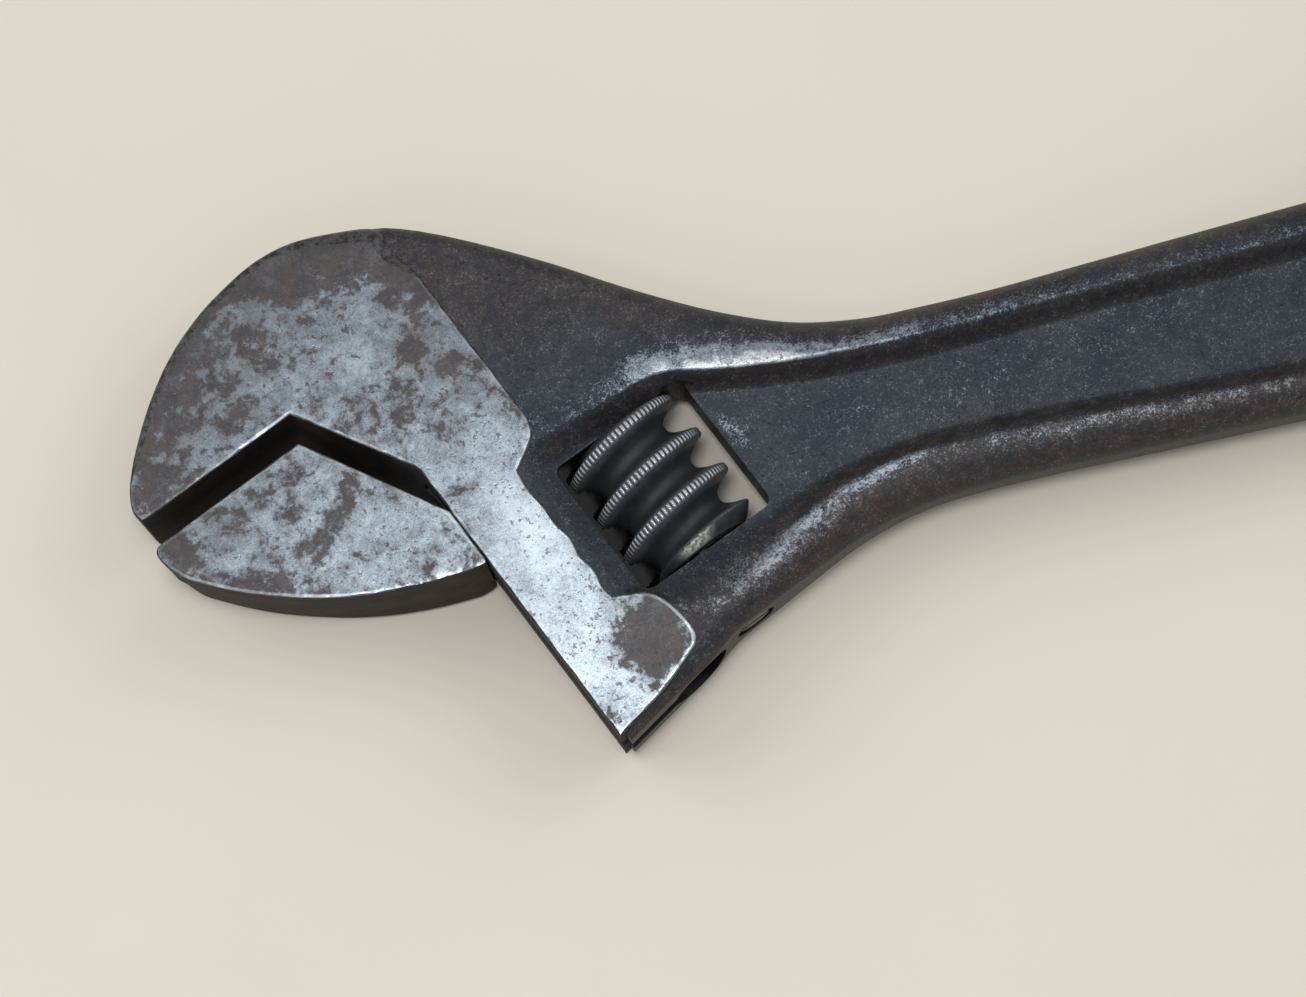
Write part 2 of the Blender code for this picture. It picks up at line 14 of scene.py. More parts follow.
import bmesh
import bpy
import numpy as np
from mathutils import Euler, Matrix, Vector


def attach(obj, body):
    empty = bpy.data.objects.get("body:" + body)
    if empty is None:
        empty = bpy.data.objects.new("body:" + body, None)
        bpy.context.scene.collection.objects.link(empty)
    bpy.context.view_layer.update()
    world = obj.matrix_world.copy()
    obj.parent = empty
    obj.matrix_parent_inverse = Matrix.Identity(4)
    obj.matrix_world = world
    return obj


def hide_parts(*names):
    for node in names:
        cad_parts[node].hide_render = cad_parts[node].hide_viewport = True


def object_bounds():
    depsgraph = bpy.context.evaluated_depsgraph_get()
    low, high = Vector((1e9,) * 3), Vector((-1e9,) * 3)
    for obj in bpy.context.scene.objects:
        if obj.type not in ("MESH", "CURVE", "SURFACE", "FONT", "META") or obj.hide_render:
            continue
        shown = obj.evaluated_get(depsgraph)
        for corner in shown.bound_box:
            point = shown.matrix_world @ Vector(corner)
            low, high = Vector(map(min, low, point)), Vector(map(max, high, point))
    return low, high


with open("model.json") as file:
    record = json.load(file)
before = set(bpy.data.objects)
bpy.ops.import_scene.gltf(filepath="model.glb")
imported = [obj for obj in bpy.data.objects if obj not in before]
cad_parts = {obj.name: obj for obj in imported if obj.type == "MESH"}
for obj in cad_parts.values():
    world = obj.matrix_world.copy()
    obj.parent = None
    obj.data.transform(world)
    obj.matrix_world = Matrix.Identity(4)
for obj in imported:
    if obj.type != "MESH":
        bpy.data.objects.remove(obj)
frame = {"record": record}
cad_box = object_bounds()

# %% [markdown]
# ## Two directions to think in
#
# The handle runs along X. The head is turned by 22.5 degrees against it, so its shapes are easier
# to write in the head's own directions: u along the jaw's face toward the tips, w in the direction
# in which the jaw opens, and z up through the thickness. All lengths are written in millimetres
# and turned into metres once, when a mesh is made.

# %% Units and the head's directions
MM = 0.001
HEAD_TURN = math.radians(202.5)
ALONG_U = np.array([math.cos(HEAD_TURN), math.sin(HEAD_TURN)])
ALONG_W = np.array([-math.sin(HEAD_TURN), math.cos(HEAD_TURN)])


def from_head(points):
    """Plan points (u, w) of the head as (x, y): u times its direction plus w times its own."""
    points = np.asarray(points, float)
    return points[..., :1] * ALONG_U + points[..., 1:2] * ALONG_W


def flat_head(points):
    """Space points (u, w, z) of the head as (x, y, z)."""
    points = np.asarray(points, float)
    return np.concatenate([from_head(points[..., :2]), points[..., 2:3]], axis=-1)


jaw_mount = frame["record"]["mounts"][0]
print("opening direction", ALONG_W.round(4), "the record says", jaw_mount.get("axis"))

# %% [markdown]
# ## From a grid of points to a mesh
#
# Nearly every piece here is a grid: one parameter goes along the piece, the other goes round it.
# The faces of a grid follow from its row and column numbers, so they are worked out as whole
# arrays. Each row is a ring. The rows may close into a ring too, or the two ends may get a lid.

# %% Grid helpers
def grid_faces(rows, columns, rows_close=False):
    """Quads between neighbours in a grid: point (i, j), the next in j, both again one row on."""
    i = np.arange(rows if rows_close else rows - 1)[:, None]
    j = np.arange(columns)[None, :]
    down, right = (i + 1) % rows, (j + 1) % columns
    corners = [i * columns + j, i * columns + right, down * columns + right, down * columns + j]
    return np.stack(corners, axis=-1).reshape(-1, 4)


def keep_mark(mesh, mark, values):
    """Keeps one number for each point, as a grey on all the face corners that meet there."""
    corner_point = np.empty(len(mesh.loops), np.int32)
    mesh.loops.foreach_get("vertex_index", corner_point)
    layer = mesh.attributes.new(mark, "FLOAT_COLOR", "CORNER")
    grey = np.repeat(np.asarray(values, float)[corner_point][:, None], 4, axis=1)
    layer.data.foreach_set("color", grey.astype(np.float32).ravel())


def put_in_scene(name, data):
    """An object of this name for a mesh, lamp or camera, linked to the scene."""
    made = bpy.data.objects.new(name, data)
    bpy.context.scene.collection.objects.link(made)
    return made


def piece_from(name, points, faces, finish=0, marks=None):
    """A piece from points in millimetres, its faces turned outwards. Finish is a slot number for
    all faces or one for each, and marks are numbers for each point."""
    mesh = bpy.data.meshes.new(name)
    mesh.from_pydata((np.asarray(points) * MM).tolist(), [], [list(map(int, f)) for f in faces])
    mesh.update()
    slots = np.broadcast_to(finish, len(faces)).astype(np.int32)
    mesh.polygons.foreach_set("material_index", slots)
    for mark, values in (marks or {}).items():
        keep_mark(mesh, mark, values)
    shape = bmesh.new()
    shape.from_mesh(mesh)
    bmesh.ops.recalc_face_normals(shape, faces=shape.faces)
    if shape.calc_volume(signed=True) < 0:
        bmesh.ops.reverse_faces(shape, faces=shape.faces)
    shape.to_mesh(mesh)
    shape.free()
    return put_in_scene(name, mesh)


def tube(name, points, finish=0, lid_finish=None):
    """A closed piece from a grid of points: rings of them one after another, and a lid on each end."""
    rows, columns = points.shape[:2]
    sides = grid_faces(rows, columns).tolist()
    lids = [list(range(columns))[::-1], list(range((rows - 1) * columns, rows * columns))]
    slots = [finish] * len(sides) + [finish if lid_finish is None else lid_finish] * 2
    return piece_from(name, points.reshape(-1, 3), sides + lids, slots)


def circle(sides):
    """Angles at equal steps round a full turn."""
    return np.linspace(0, 2 * math.pi, sides, endpoint=False)


def turned(u, w, radius, a):
    """Points at this radius and angle round the line (u, w, 0): u + r sin a, w and r cos a."""
    return np.stack(np.broadcast_arrays(u + radius * np.sin(a), w, radius * np.cos(a)), axis=2)


print("a grid of 3 rings of 8 points has", len(grid_faces(3, 8)), "sides")

# %% [markdown]
# ## Smooth lines through a few points
#
# A forged outline has long easy curves that meet in a few corners. Writing a few points on each
# curve and letting a smooth line run through them is closer to how a pattern maker draws it than
# joining many arcs.

# %% Curve helpers
def through(values, at, level=False):
    """A smooth run through values, read at fractional positions.

    Between two values it is a cubic whose slope at each value is half the step across it. With
    level it is the harmonic mean of the two steps, or zero at a turning point, so that nothing
    overshoots.
    """
    v = np.asarray(values, float)
    steps = np.diff(v, axis=0)
    slope = np.concatenate([steps[:1], (steps[1:] + steps[:-1]) / 2, steps[-1:]])
    if level:
        product = steps[1:] * steps[:-1]
        total = np.where(np.abs(steps[1:] + steps[:-1]) < 1e-9, 1.0, steps[1:] + steps[:-1])
        slope[1:-1] = np.where(product > 0, 2 * product / total, 0.0)
    i = np.clip(np.floor(at).astype(int), 0, len(v) - 2)
    t = (at - i).reshape((-1,) + (1,) * (v.ndim - 1))
    return ((1 + 2 * t) * (1 - t) ** 2 * v[i] + t ** 2 * (3 - 2 * t) * v[i + 1]
            + t * (1 - t) ** 2 * slope[i] + t ** 2 * (t - 1) * slope[i + 1])


def evenly(line, spacing):
    """The points of a line at equal distances along it, keeping its two ends."""
    line = np.asarray(line, float)
    length = np.concatenate([[0], np.cumsum(np.linalg.norm(np.diff(line, axis=0), axis=1))])
    at = np.linspace(0, length[-1], max(2, int(round(length[-1] / spacing)) + 1))
    return np.stack([np.interp(at, length, line[:, k]) for k in range(line.shape[1])], axis=1)


def closed_outline(runs, spacing=0.5):
    """Joins runs into a closed line: two points make a straight run, more make a smooth one."""
    pieces = []
    for run in runs:
        run = np.asarray(run, float)
        if len(run) > 2:
            run = through(run, np.linspace(0, len(run) - 1, 40 * len(run)))
        pieces.append(evenly(run, spacing)[:-1])
    return np.concatenate(pieces)


def outward(outline):
    """For each point of a closed line, the mitred direction that moves both its sides out by 1."""
    sides = np.roll(outline, -1, axis=0) - outline
    sides = sides / np.linalg.norm(sides, axis=1, keepdims=True)
    (x, y), (next_x, next_y) = outline.T, np.roll(outline, -1, axis=0).T
    turns_left = np.sign(np.sum(x * next_y - y * next_x))
    normal = np.stack([sides[:, 1], -sides[:, 0]], axis=1) * turns_left
    before = np.roll(normal, 1, axis=0)
    return (normal + before) / (1 + np.sum(normal * before, axis=1, keepdims=True))


def distance_to(outline, points):
    """The shortest distance in the plan from each point to a closed line."""
    start, side = outline, np.roll(outline, -1, axis=0) - outline
    shortest = np.full(len(points), 1e9)
    for chunk in np.array_split(np.arange(len(points)), max(1, len(points) // 2000)):
        gap = points[chunk, None, :] - start[None]
        share = np.clip(np.sum(gap * side, axis=2) / np.sum(side * side, axis=1), 0, 1)
        shortest[chunk] = np.linalg.norm(gap - share[..., None] * side, axis=2).min(axis=1)
    return shortest


square = closed_outline([[(0, 0), (4, 0)], [(4, 0), (4, 4)], [(4, 4), (0, 4)], [(0, 4), (0, 0)]])
print("from a square's middle to its edge:", distance_to(square, np.array([[2.0, 2.0]]))[0], "mm of 2")

# %% [markdown]
# ## Flat plates with eased edges
#
# The two flat, ground parts of the wrench are the head and the sliding jaw's nose. Each is a
# profile carried along a closed outline: down the side wall, and round a small quarter circle into
# each flat face. Real edges are never sharp, and a small round is what catches the light.
#
# A lid of one big face would do for the flat, but the finish needs to know how far each spot is
# from the edge, where hands and work have rubbed it. So the lid is sliced into small cells, and
# each corner keeps its distance from the edge in an attribute.

# %% Plate helper
# The numbers of the four finish slots, and how many millimetres one unit of the mark rim is.
GROUND, WALL, FORGED, BORED = range(4)
RIM_SCALE = 10


def eased_plate(name, outline, half, ease, foot=0.0, cell=1.2, rounds=4):
    """A plate with rounded rims: outline minus its outward direction times ease (1 - cos a), at
    height half - ease (1 - sin a), for a from the wall (0) to the flat face (a quarter turn). The
    wall then leans out by foot times the share of the way down, to the power 1.6."""
    out = outward(outline)
    ease = np.broadcast_to(ease, len(outline))[:, None]
    foot = np.broadcast_to(foot, len(outline))[:, None]
    angle = np.linspace(0, math.pi / 2, rounds + 1)
    inset, height = 1 - np.cos(angle), 1 - np.sin(angle)
    rounded = [np.hstack([outline - out * ease * a, half - ease * b]) for a, b in zip(inset, height)]
    rings = [ring * (1, 1, -1) for ring in rounded[::-1]]
    rings += [np.hstack([outline, (half - ease) * level]) for level in (-0.6, -0.2, 0.2, 0.6)]
    rings += rounded
    for ring in rings:
        ring[:, :2] += out * foot * ((half - ring[:, 2:]) / (2 * half)) ** 1.6
    points = flat_head(np.stack(rings))
    piece = tube(name, points, WALL, GROUND)
    shape = bmesh.new()
    shape.from_mesh(piece.data)
    low, high = points.min(axis=(0, 1)) * MM, points.max(axis=(0, 1)) * MM
    for axis, normal in enumerate(np.eye(3)[:2]):
        for at in np.arange(low[axis] + cell * MM, high[axis], cell * MM):
            lids = [f for f in shape.faces if f.material_index == GROUND]
            edges = {e for f in lids for e in f.edges}
            corners = {v for f in lids for v in f.verts}
            bmesh.ops.bisect_plane(shape, geom=lids + list(edges) + list(corners), dist=1e-7,
                                   plane_co=normal * at, plane_no=normal)
    shape.to_mesh(piece.data)
    shape.free()
    return piece


def worn_ease(outline, least, most, seed):
    """The width of an edge's rounding, which wanders between two values along the outline."""
    count = len(outline) // 3
    wander = np.random.default_rng(seed).random(count)
    at = np.arange(len(outline)) / 3 % count
    return least + (most - least) * np.interp(at, np.arange(count + 1), np.append(wander, wander[0]))


def mark_edges(piece, outline):
    """Keeps each point's distance from the outline, in centimetres, as the attribute rim."""
    places = np.empty(len(piece.data.vertices) * 3)
    piece.data.vertices.foreach_get("co", places)
    rim = distance_to(from_head(outline), places.reshape(-1, 3)[:, :2] / MM)
    keep_mark(piece.data, "rim", rim / RIM_SCALE)
    print(piece.name, "is", len(piece.data.polygons), "faces, up to", round(rim.max(), 1), "mm from the edge")


# %% [markdown]
# ## The head's ground face
#
# The head's flat face is a hooked band: the fixed jaw, the throat and the guide strip down which
# the other jaw slides. Its back is one long curve. Around the knurl's window the flat stops at the
# forged hollow, and it ends in a rounded boss beside the guide's end.

# %% The head plate
HALF_HEAD = 7.25
STRIP_U = -18.2
JAW_TIP_U = 10.35
head_runs = [
    [(JAW_TIP_U, 0), (-10.25, 0)],
    [(-10.25, 0), (-17.35, 12.38)],
    [(-17.35, 12.38), (-17.9, 13.3), (STRIP_U, 14.4)],
    [(STRIP_U, 14.2), (STRIP_U, 52.1)],
    [(STRIP_U, 52.1), (-24.9, 50.9), (-31.0, 48.9)],
    [(-31.0, 48.9), (-31.8, 48.0), (-32.0, 46.6), (-31.8, 44.6), (-31.3, 42.5), (-30.2, 40.8),
     (-28.3, 39.6), (-26.9, 38.9)],
    [(-26.9, 38.9), (-26.75, 37.4), (-27.05, 35.2), (-26.8, 33.0), (-27.15, 30.6), (-26.8, 28.4),
     (-26.95, 26.0), (-26.7, 23.6), (-26.9, 20.9)],
    [(-26.9, 20.9), (-29.3, 19.6), (-30.9, 18.3), (-31.5, 16.6)],
    [(-31.5, 16.6), (-31.4, -11.6)],
    [(-31.4, -11.6), (-29.7, -13.1), (-26.0, -15.0), (-22.5, -16.4), (-19.0, -17.05), (-15.4, -17.1),
     (-10.3, -16.35), (-5.7, -15.0), (-1.5, -13.05), (2.7, -10.3), (6.2, -7.4), (8.6, -4.9),
     (10.0, -2.9), (10.6, -1.3), (JAW_TIP_U, 0)],
]
head_outline = closed_outline(head_runs)
# The edge along the head's back is rounded far more than the working edges.
back_of_head = np.clip((-4.0 - head_outline[:, 1]) / 4.0, 0, 1)
near_shoulder = np.clip((-20.0 - head_outline[:, 0]) / 9.0, 0, 1)
head_ease = worn_ease(head_outline, 0.12, 0.26, 5) + back_of_head * (0.75 + 1.1 * near_shoulder)
# The throat's wall leans out by up to a millimetre at its foot, and not at all at its ends.
u, w = head_outline.T
in_throat = np.clip((-9.4 - u) / 0.8, 0, 1) * (u > -18.3) * np.clip((w + 0.4) / 0.4, 0, 1)
in_throat = in_throat * np.clip((16.6 - w) / 2.6, 0, 1)
head = eased_plate("wrench_body", head_outline, HALF_HEAD, head_ease, in_throat)
mark_edges(head, head_outline)

# %% [markdown]
# ## The forging
#
# The shoulder and handle are one drop forging: soft all over, with thick rims and a thin web
# between them. Seen from above it is a family of lines that run from its upper edge to its lower
# edge, first square to the guide and then turning square to the handle. Six points are written on
# each line: the edge, the crest of the rim and the foot of the rim's wall, and the same on the
# other side. Smooth runs through those points and their heights give the surface.

# %% Lines across the forging
def straight(x, *heights):
    """A line straight across the handle at this x."""
    return [(x, y) for y in heights]


# Upper edge, crest, foot; lower foot, crest, edge.
head_lines = from_head([
    [(-19.3, -11.9), (-19.3, 19.6), (-19.3, 21.0), (-19.2, 38.6), (-19.1, 39.6), (-19.0, 52.9)],
    [(-26.8, -13.3), (-26.8, 20.0), (-26.8, 21.3), (-26.8, 38.4), (-26.8, 39.3), (-26.9, 51.7)],
    [(-29.0, -13.1), (-29.0, 19.4), (-29.0, 22.2), (-29.0, 39.2), (-29.0, 41.0), (-29.3, 51.4)],
    [(-31.8, -11.95), (-31.6, 19.3), (-31.5, 22.6), (-31.6, 40.0), (-32.0, 43.6), (-32.2, 50.9)],
])
handle_lines = [
    [(31.0, 20.75), (40.3, -4.6), (41.6, -7.2), (49.0, -23.7), (50.9, -28.3), (52.4, -32.4)],
    [(41.0, 15.25), (45.6, -3.2), (46.9, -5.6), (54.4, -21.9), (55.9, -26.5), (57.0, -30.3)],
    [(50.0, 9.55), (51.2, -1.9), (51.9, -4.0), (58.6, -20.5), (60.1, -23.9), (61.6, -28.3)],
    [(59.0, 4.45), (58.6, -3.2), (58.8, -5.2), (63.0, -18.9), (64.0, -21.5), (66.0, -26.4)],
    [(67.0, 1.05), (66.5, -4.3), (66.5, -6.2), (68.2, -17.4), (69.0, -19.4), (70.2, -24.9)],
    [(74.5, -0.55), (74.5, -4.9), (74.5, -6.8), (75.0, -16.3), (75.3, -18.1), (75.6, -23.6)],
    straight(81.5, -1.0, -5.1, -7.0, -15.9, -17.9, -23.05),
    straight(91.0, -1.15, -5.0, -6.9, -16.3, -18.3, -23.1),
    straight(106.0, -0.85, -4.9, -6.8, -17.4, -19.4, -23.7),
    straight(124.0, -0.5, -4.9, -6.8, -18.6, -20.6, -24.4),
    straight(160.0, 0.05, -4.4, -6.3, -19.8, -21.7, -25.9),
    straight(195.0, 0.55, -4.0, -5.9, -20.9, -22.8, -27.2),
    straight(212.0, 0.8, -4.0, -5.9, -21.1, -23.0, -27.8),
    [(218.5, 0.9), (218.5, -6.2), (218.0, -8.6), (218.0, -18.6), (218.5, -21.0), (218.5, -28.0)],
    [(222.0, 0.95), (222.5, -9.4), (221.6, -11.0), (221.6, -16.2), (222.5, -17.8), (222.0, -28.1)],
    straight(229.0, 1.0, -10.0, -11.5, -15.7, -17.2, -28.2),
]
lines_across = np.concatenate([head_lines, np.array(handle_lines)])

# %% [markdown]
# The heights go with those lines, measured from mid-thickness: where the side wall stops being
# upright, the rim's crest and the web. The radius is how far in from the edge the rounding reaches.

# %% Heights along the forging
wall_top = [4.4, 4.4, 4.3, 4.2, 3.9, 3.4, 2.8, 2.3, 1.9, 1.6] + [1.5] * 10
crest_up = [6.9, 7.05, 7.08, 7.05, 6.75, 6.5, 6.3, 6.1, 5.95, 5.85, 5.8] + [5.75] * 9
crest_low = [6.9, 7.05, 7.08, 6.9, 6.5, 6.25, 6.1, 5.95, 5.85, 5.8] + [5.75] * 10
foot_up = [6.8, 7.0, 6.0, 4.6, 4.2, 3.8, 3.4] + [3.3] * 10 + [3.6, 5.6, 5.75]
foot_low = [6.8, 7.0, 6.0, 4.7, 4.3, 3.9, 3.5] + [3.3] * 10 + [3.6, 5.6, 5.75]
radius_up = [2.5, 2.6, 2.6, 2.6, 2.9, 3.3, 3.7] + [4.0] * 8 + [4.2] * 5
radius_low = [3.0, 3.0, 3.0, 3.1, 3.3, 3.7, 4.0, 4.2, 4.4, 4.6, 4.6, 4.4, 4.0, 3.8, 4.0] + [4.2] * 5
written = [wall_top, crest_up, foot_up, foot_low, crest_low, radius_up, radius_low]

gaps = np.linalg.norm(np.diff(lines_across.mean(axis=1), axis=0), axis=1)
station = np.concatenate([np.linspace(i, i + 1, max(3, int(gap / 1.1)), endpoint=False)
                          for i, gap in enumerate(gaps)] + [[len(gaps)]])
guides = through(lines_across, station)
heights = through(np.stack(written, axis=1), station, level=True)
print("forging:", len(lines_across), "lines written,", len(station), "lines worked out")

# %% [markdown]
# The round end of the tail is more lines of the same kind. Each is shorter than the one before, as
# the chords of a circle are, and the thickness eases down over the last few millimetres.

# %% The tail's lines
TAIL_CENTRE = np.array([229.0, -13.6])
TAIL_RADIUS = 14.6
TAIL_REACH = 14.55
END_ROUND = 4.2
turn = np.radians(np.linspace(4, 84, 22))[:, None]
last = guides[-1]
share = (last[:, 1] - TAIL_CENTRE[1])[None, :] / TAIL_RADIUS
tail_x = TAIL_CENTRE[0] + TAIL_REACH * np.sin(turn) + 0 * share
tail_y = TAIL_CENTRE[1] + TAIL_RADIUS * np.cos(turn) * share
tail_heights = np.repeat(heights[-1:], len(turn), axis=0)
round_from = TAIL_CENTRE[0] + TAIL_REACH - END_ROUND
near_end = np.clip((tail_x[:, :1] - round_from) / END_ROUND, 0, 0.995)
side = wall_top[-1]
tail_heights[:, 1:5] = side + (tail_heights[:, 1:5] - side) * np.sqrt(1 - near_end ** 2)
tail_heights[:, 5:7] *= np.clip(np.cos(turn) * 1.2, 0.05, 1)
guides = np.concatenate([guides, np.stack([tail_x, tail_y], axis=2)])
heights = np.concatenate([heights, tail_heights])
print("with the tail", len(guides), "lines")


# %% [markdown]
# Along each line the height goes through five stretches: a quarter ellipse from the side wall to
# the rim, the rim up to its crest, an S down the rim's wall, the web, and the same on the far side.
# The wear that a hand leaves is greatest on the crest, so it is worked out here too.

# %% The forging's surface
def across_forging(guide, height):
    """One stretch at a time along every line: place between its two written points, height by a
    quarter ellipse, a straight blend, or the S curve q^2 (3 - 2q). Returns (lines, points, xyz) and
    the wear of each point, a bump centred on the crest."""
    columns = [column[:, None] for column in height.T]
    top, crest_u, foot_u, foot_l, crest_l, radius_u, radius_l = columns
    edge_u, c_u, f_u, f_l, c_l, edge_l = [guide[:, k][:, None, :] for k in range(6)]

    def softened(crest, foot):
        wall_width = np.linalg.norm(foot - crest, axis=2)[..., None]
        more = (foot - crest) / wall_width * np.minimum(0.4, wall_width / 3)
        return crest - more, foot + more

    def half(edge, crest, foot, crest_z, foot_z, radius):
        width = np.linalg.norm(crest - edge, axis=2)
        reach = np.minimum(radius, 0.9 * width) / width
        a = np.linspace(0, math.pi / 2, 12)[None, :]
        q = np.linspace(0, 1, 7)[None, 1:]
        s = np.linspace(0, 1, 12)[None, 1:]
        rounding = reach * (1 - np.cos(a))
        shelf = crest_z - 0.5 * np.clip(1 - reach, 0, 1)
        rim = reach + (1 - reach) * q
        along = np.concatenate([rounding, rim], axis=1)[..., None]
        place = np.concatenate([edge + (crest - edge) * along,
                                crest + (foot - crest) * s[..., None]], axis=1)
        z = np.concatenate([top + (shelf - top) * np.sin(a), shelf + (crest_z - shelf) * q * (2 - q),
                            crest_z + (foot_z - crest_z) * s ** 2 * (3 - 2 * s)], axis=1)
        wear = np.concatenate([np.exp(-((1 - along[..., 0]) * width / 1.5) ** 2),
                               np.exp(-(s * np.linalg.norm(foot - crest, axis=2) / 0.6) ** 2)], axis=1)
        return place, z, wear

    (c_u, f_u), (c_l, f_l) = softened(c_u, f_u), softened(c_l, f_l)
    place_u, z_u, wear_u = half(edge_u, c_u, f_u, crest_u, foot_u, radius_u)
    place_l, z_l, wear_l = half(edge_l, c_l, f_l, crest_l, foot_l, radius_l)
    web = np.linspace(0, 1, 16)[None, 1:-1]
    place_w = f_u + (f_l - f_u) * web[..., None]
    z_w = foot_u + (foot_l - foot_u) * web + 0 * f_u[..., 0]
    place = np.concatenate([place_u, place_w, place_l[:, ::-1]], axis=1)
    z = np.concatenate([z_u, z_w, z_l[:, ::-1]], axis=1)
    wear = np.concatenate([wear_u, 0 * z_w, wear_l[:, ::-1]], axis=1)
    return np.concatenate([place, z[..., None]], axis=2), wear


def ripple(points, size, seed):
    """Gentle unevenness between -1 and 1: the mean of eight sine waves of about that size (mm)."""
    rng = np.random.default_rng(seed)
    direction = rng.normal(size=(8, 3))
    direction /= np.linalg.norm(direction, axis=1, keepdims=True)
    wave = 2 * math.pi / (size * rng.uniform(0.7, 1.6, 8))
    phase = rng.uniform(0, 2 * math.pi, 8)
    return np.sin(points @ direction.T * wave + phase).mean(axis=-1)


top_side, wear = across_forging(guides, heights)
hammered = ripple(top_side, 9.0, 3) * 0.10 + ripple(top_side, 3.5, 4) * 0.03
top_side[..., 2] += hammered * (heights[:, :1] < 4.15)
ring = np.concatenate([top_side, top_side[:, ::-1] * (1, 1, -1)], axis=1)
ring_wear = np.concatenate([wear, wear[:, ::-1]], axis=1)
rows, columns = ring.shape[:2]
faces = grid_faces(rows, columns).tolist()
for first in (0, (rows - 1) * columns):
    faces += [[first + i, first + i + 1, first + columns - 2 - i, first + columns - 1 - i]
              for i in range(columns // 2 - 1)]
forging = piece_from("forging", ring.reshape(-1, 3), faces, FORGED, {"rub": ring_wear.ravel()})
print("forging:", rows, "x", columns, "points,", round(float(np.ptp(ring[..., 0])), 1), "mm long")


# %% [markdown]
# ## Joining and cutting
#
# On the real wrench the head is ground flat and bored after forging. Here the plate and the
# forging are joined by a Boolean modifier, and each hole is then cut with a solid of its own shape.
# Every solid lists the same finishes, so a cut face keeps the finish of the cutter that made it.

# %% Boolean helpers
SLOTS = ("ground", "wall", "forged", "bored")
FINISHES = {slot: bpy.data.materials.new("wrench_" + slot) for slot in SLOTS}


def same_finishes(piece):
    """Gives a piece without finishes the shared list of finish slots, in one order."""
    if not len(piece.data.materials):
        for material in FINISHES.values():
            piece.data.materials.append(material)


def join_or_cut(target, other, operation):
    """Applies one exact Boolean to the target and removes the other solid."""
    same_finishes(target)
    same_finishes(other)
    modifier = target.modifiers.new(other.name, "BOOLEAN")
    modifier.operation, modifier.solver, modifier.object = operation, "EXACT", other
    bpy.context.view_layer.update()
    worked_out = target.evaluated_get(bpy.context.evaluated_depsgraph_get())
    result = bpy.data.meshes.new_from_object(worked_out)
    target.modifiers.clear()
    before, target.data = target.data, result
    bpy.data.meshes.remove(before)
    bpy.data.objects.remove(other, do_unlink=True)
    if len(result.polygons) < 100:
        raise RuntimeError("the Boolean lost the piece " + target.name)
    print(operation.lower(), "gives", len(result.polygons), "faces")


def close_slivers(piece):
    """Fills the tiny open triangles that a Boolean can leave where three faces nearly meet."""
    shape = bmesh.new()
    shape.from_mesh(piece.data)
    edges = [edge for edge in shape.edges if edge.is_boundary]
    for face in bmesh.ops.holes_fill(shape, edges=edges, sides=4)["faces"]:
        face.material_index = WALL
    bmesh.ops.dissolve_degenerate(shape, dist=0.0005 * MM, edges=shape.edges)
    left = sum(not edge.is_manifold for edge in shape.edges)
    shape.to_mesh(piece.data)
    shape.free()
    print(piece.name, "had", len(edges), "open edges, has", left)


def round_bar(name, u, start, end, radius, sides=48):
    """A bored cutter along w: a circle of this radius round the line (u, w, 0)."""
    return tube(name, flat_head(turned(u, [[start], [end]], radius, circle(sides))), BORED)


def block(name, low, high, corner, finish):
    """A box in the head's directions whose upright edges are rounded: an arc at each corner."""
    angle = np.linspace(0, math.pi / 2, 7)
    corners = [(high[0] - corner, high[1] - corner), (low[0] + corner, high[1] - corner),
               (low[0] + corner, low[1] + corner), (high[0] - corner, low[1] + corner)]
    plan = np.concatenate([np.stack([u + corner * np.cos(angle + quarter * math.pi / 2),
                                     w + corner * np.sin(angle + quarter * math.pi / 2)], axis=1)
                           for quarter, (u, w) in enumerate(corners)])
    points = np.stack([np.hstack([plan, np.full((len(plan), 1), z)]) for z in (low[2], high[2])])
    return tube(name, flat_head(points), finish)


# %% [markdown]
# ## The body's openings
#
# The window holds the knurl. The bore runs beside it, closed at the top and open at the guide's
# end, and a narrow slot joins the bore to the strip's edge, so the jaw's bar slides inside and its
# neck slides in the slot. The knurl's pin has a hole of its own, and the tail has a hanging hole
# with softened rims.

# %% Cut the body
# The window's two corners, the jaw's bar, the knurl's axis and its pin's hole, and a w beyond the
# guide's end, up to which the cutters reach.
WINDOW = ((-48.2, 22.8, -9.0), (-30.3, 40.5, 9.0))
BAR_U, BAR_RADIUS, BAR_CLEARANCE = -29.8, 3.9, 0.3
KNURL_U = -38.6
BORE = 2.6
PAST_END = 58.0
HOLE_X, HOLE_Y = 231.0, -13.6
angle = circle(48)
lip_height = np.array([[-7.0], [-5.93], [-5.31], [-4.42], [4.42], [5.31], [5.93], [7.0]])
lip_radius = np.array([[6.6], [5.72], [5.12], [4.77], [4.77], [5.12], [5.72], [6.6]])
hole = np.stack([HOLE_X + lip_radius * np.cos(angle), HOLE_Y + lip_radius * np.sin(angle),
                 lip_height + 0 * angle], axis=2)
join_or_cut(forging, tube("hanging_hole", hole, FORGED), "DIFFERENCE")
join_or_cut(head, forging, "UNION")
join_or_cut(head, block("window", *WINDOW, 1.2, FORGED), "DIFFERENCE")
join_or_cut(head, round_bar("bore", BAR_U, 0.8, PAST_END, BAR_RADIUS + BAR_CLEARANCE), "DIFFERENCE")
join_or_cut(head, block("slot", (BAR_U, 14.4, -1.7), (-15.0, PAST_END, 1.7), 0.3, BORED), "DIFFERENCE")
join_or_cut(head, round_bar("pin_hole", KNURL_U, 17.2, PAST_END, BORE, sides=32), "DIFFERENCE")
close_slivers(head)


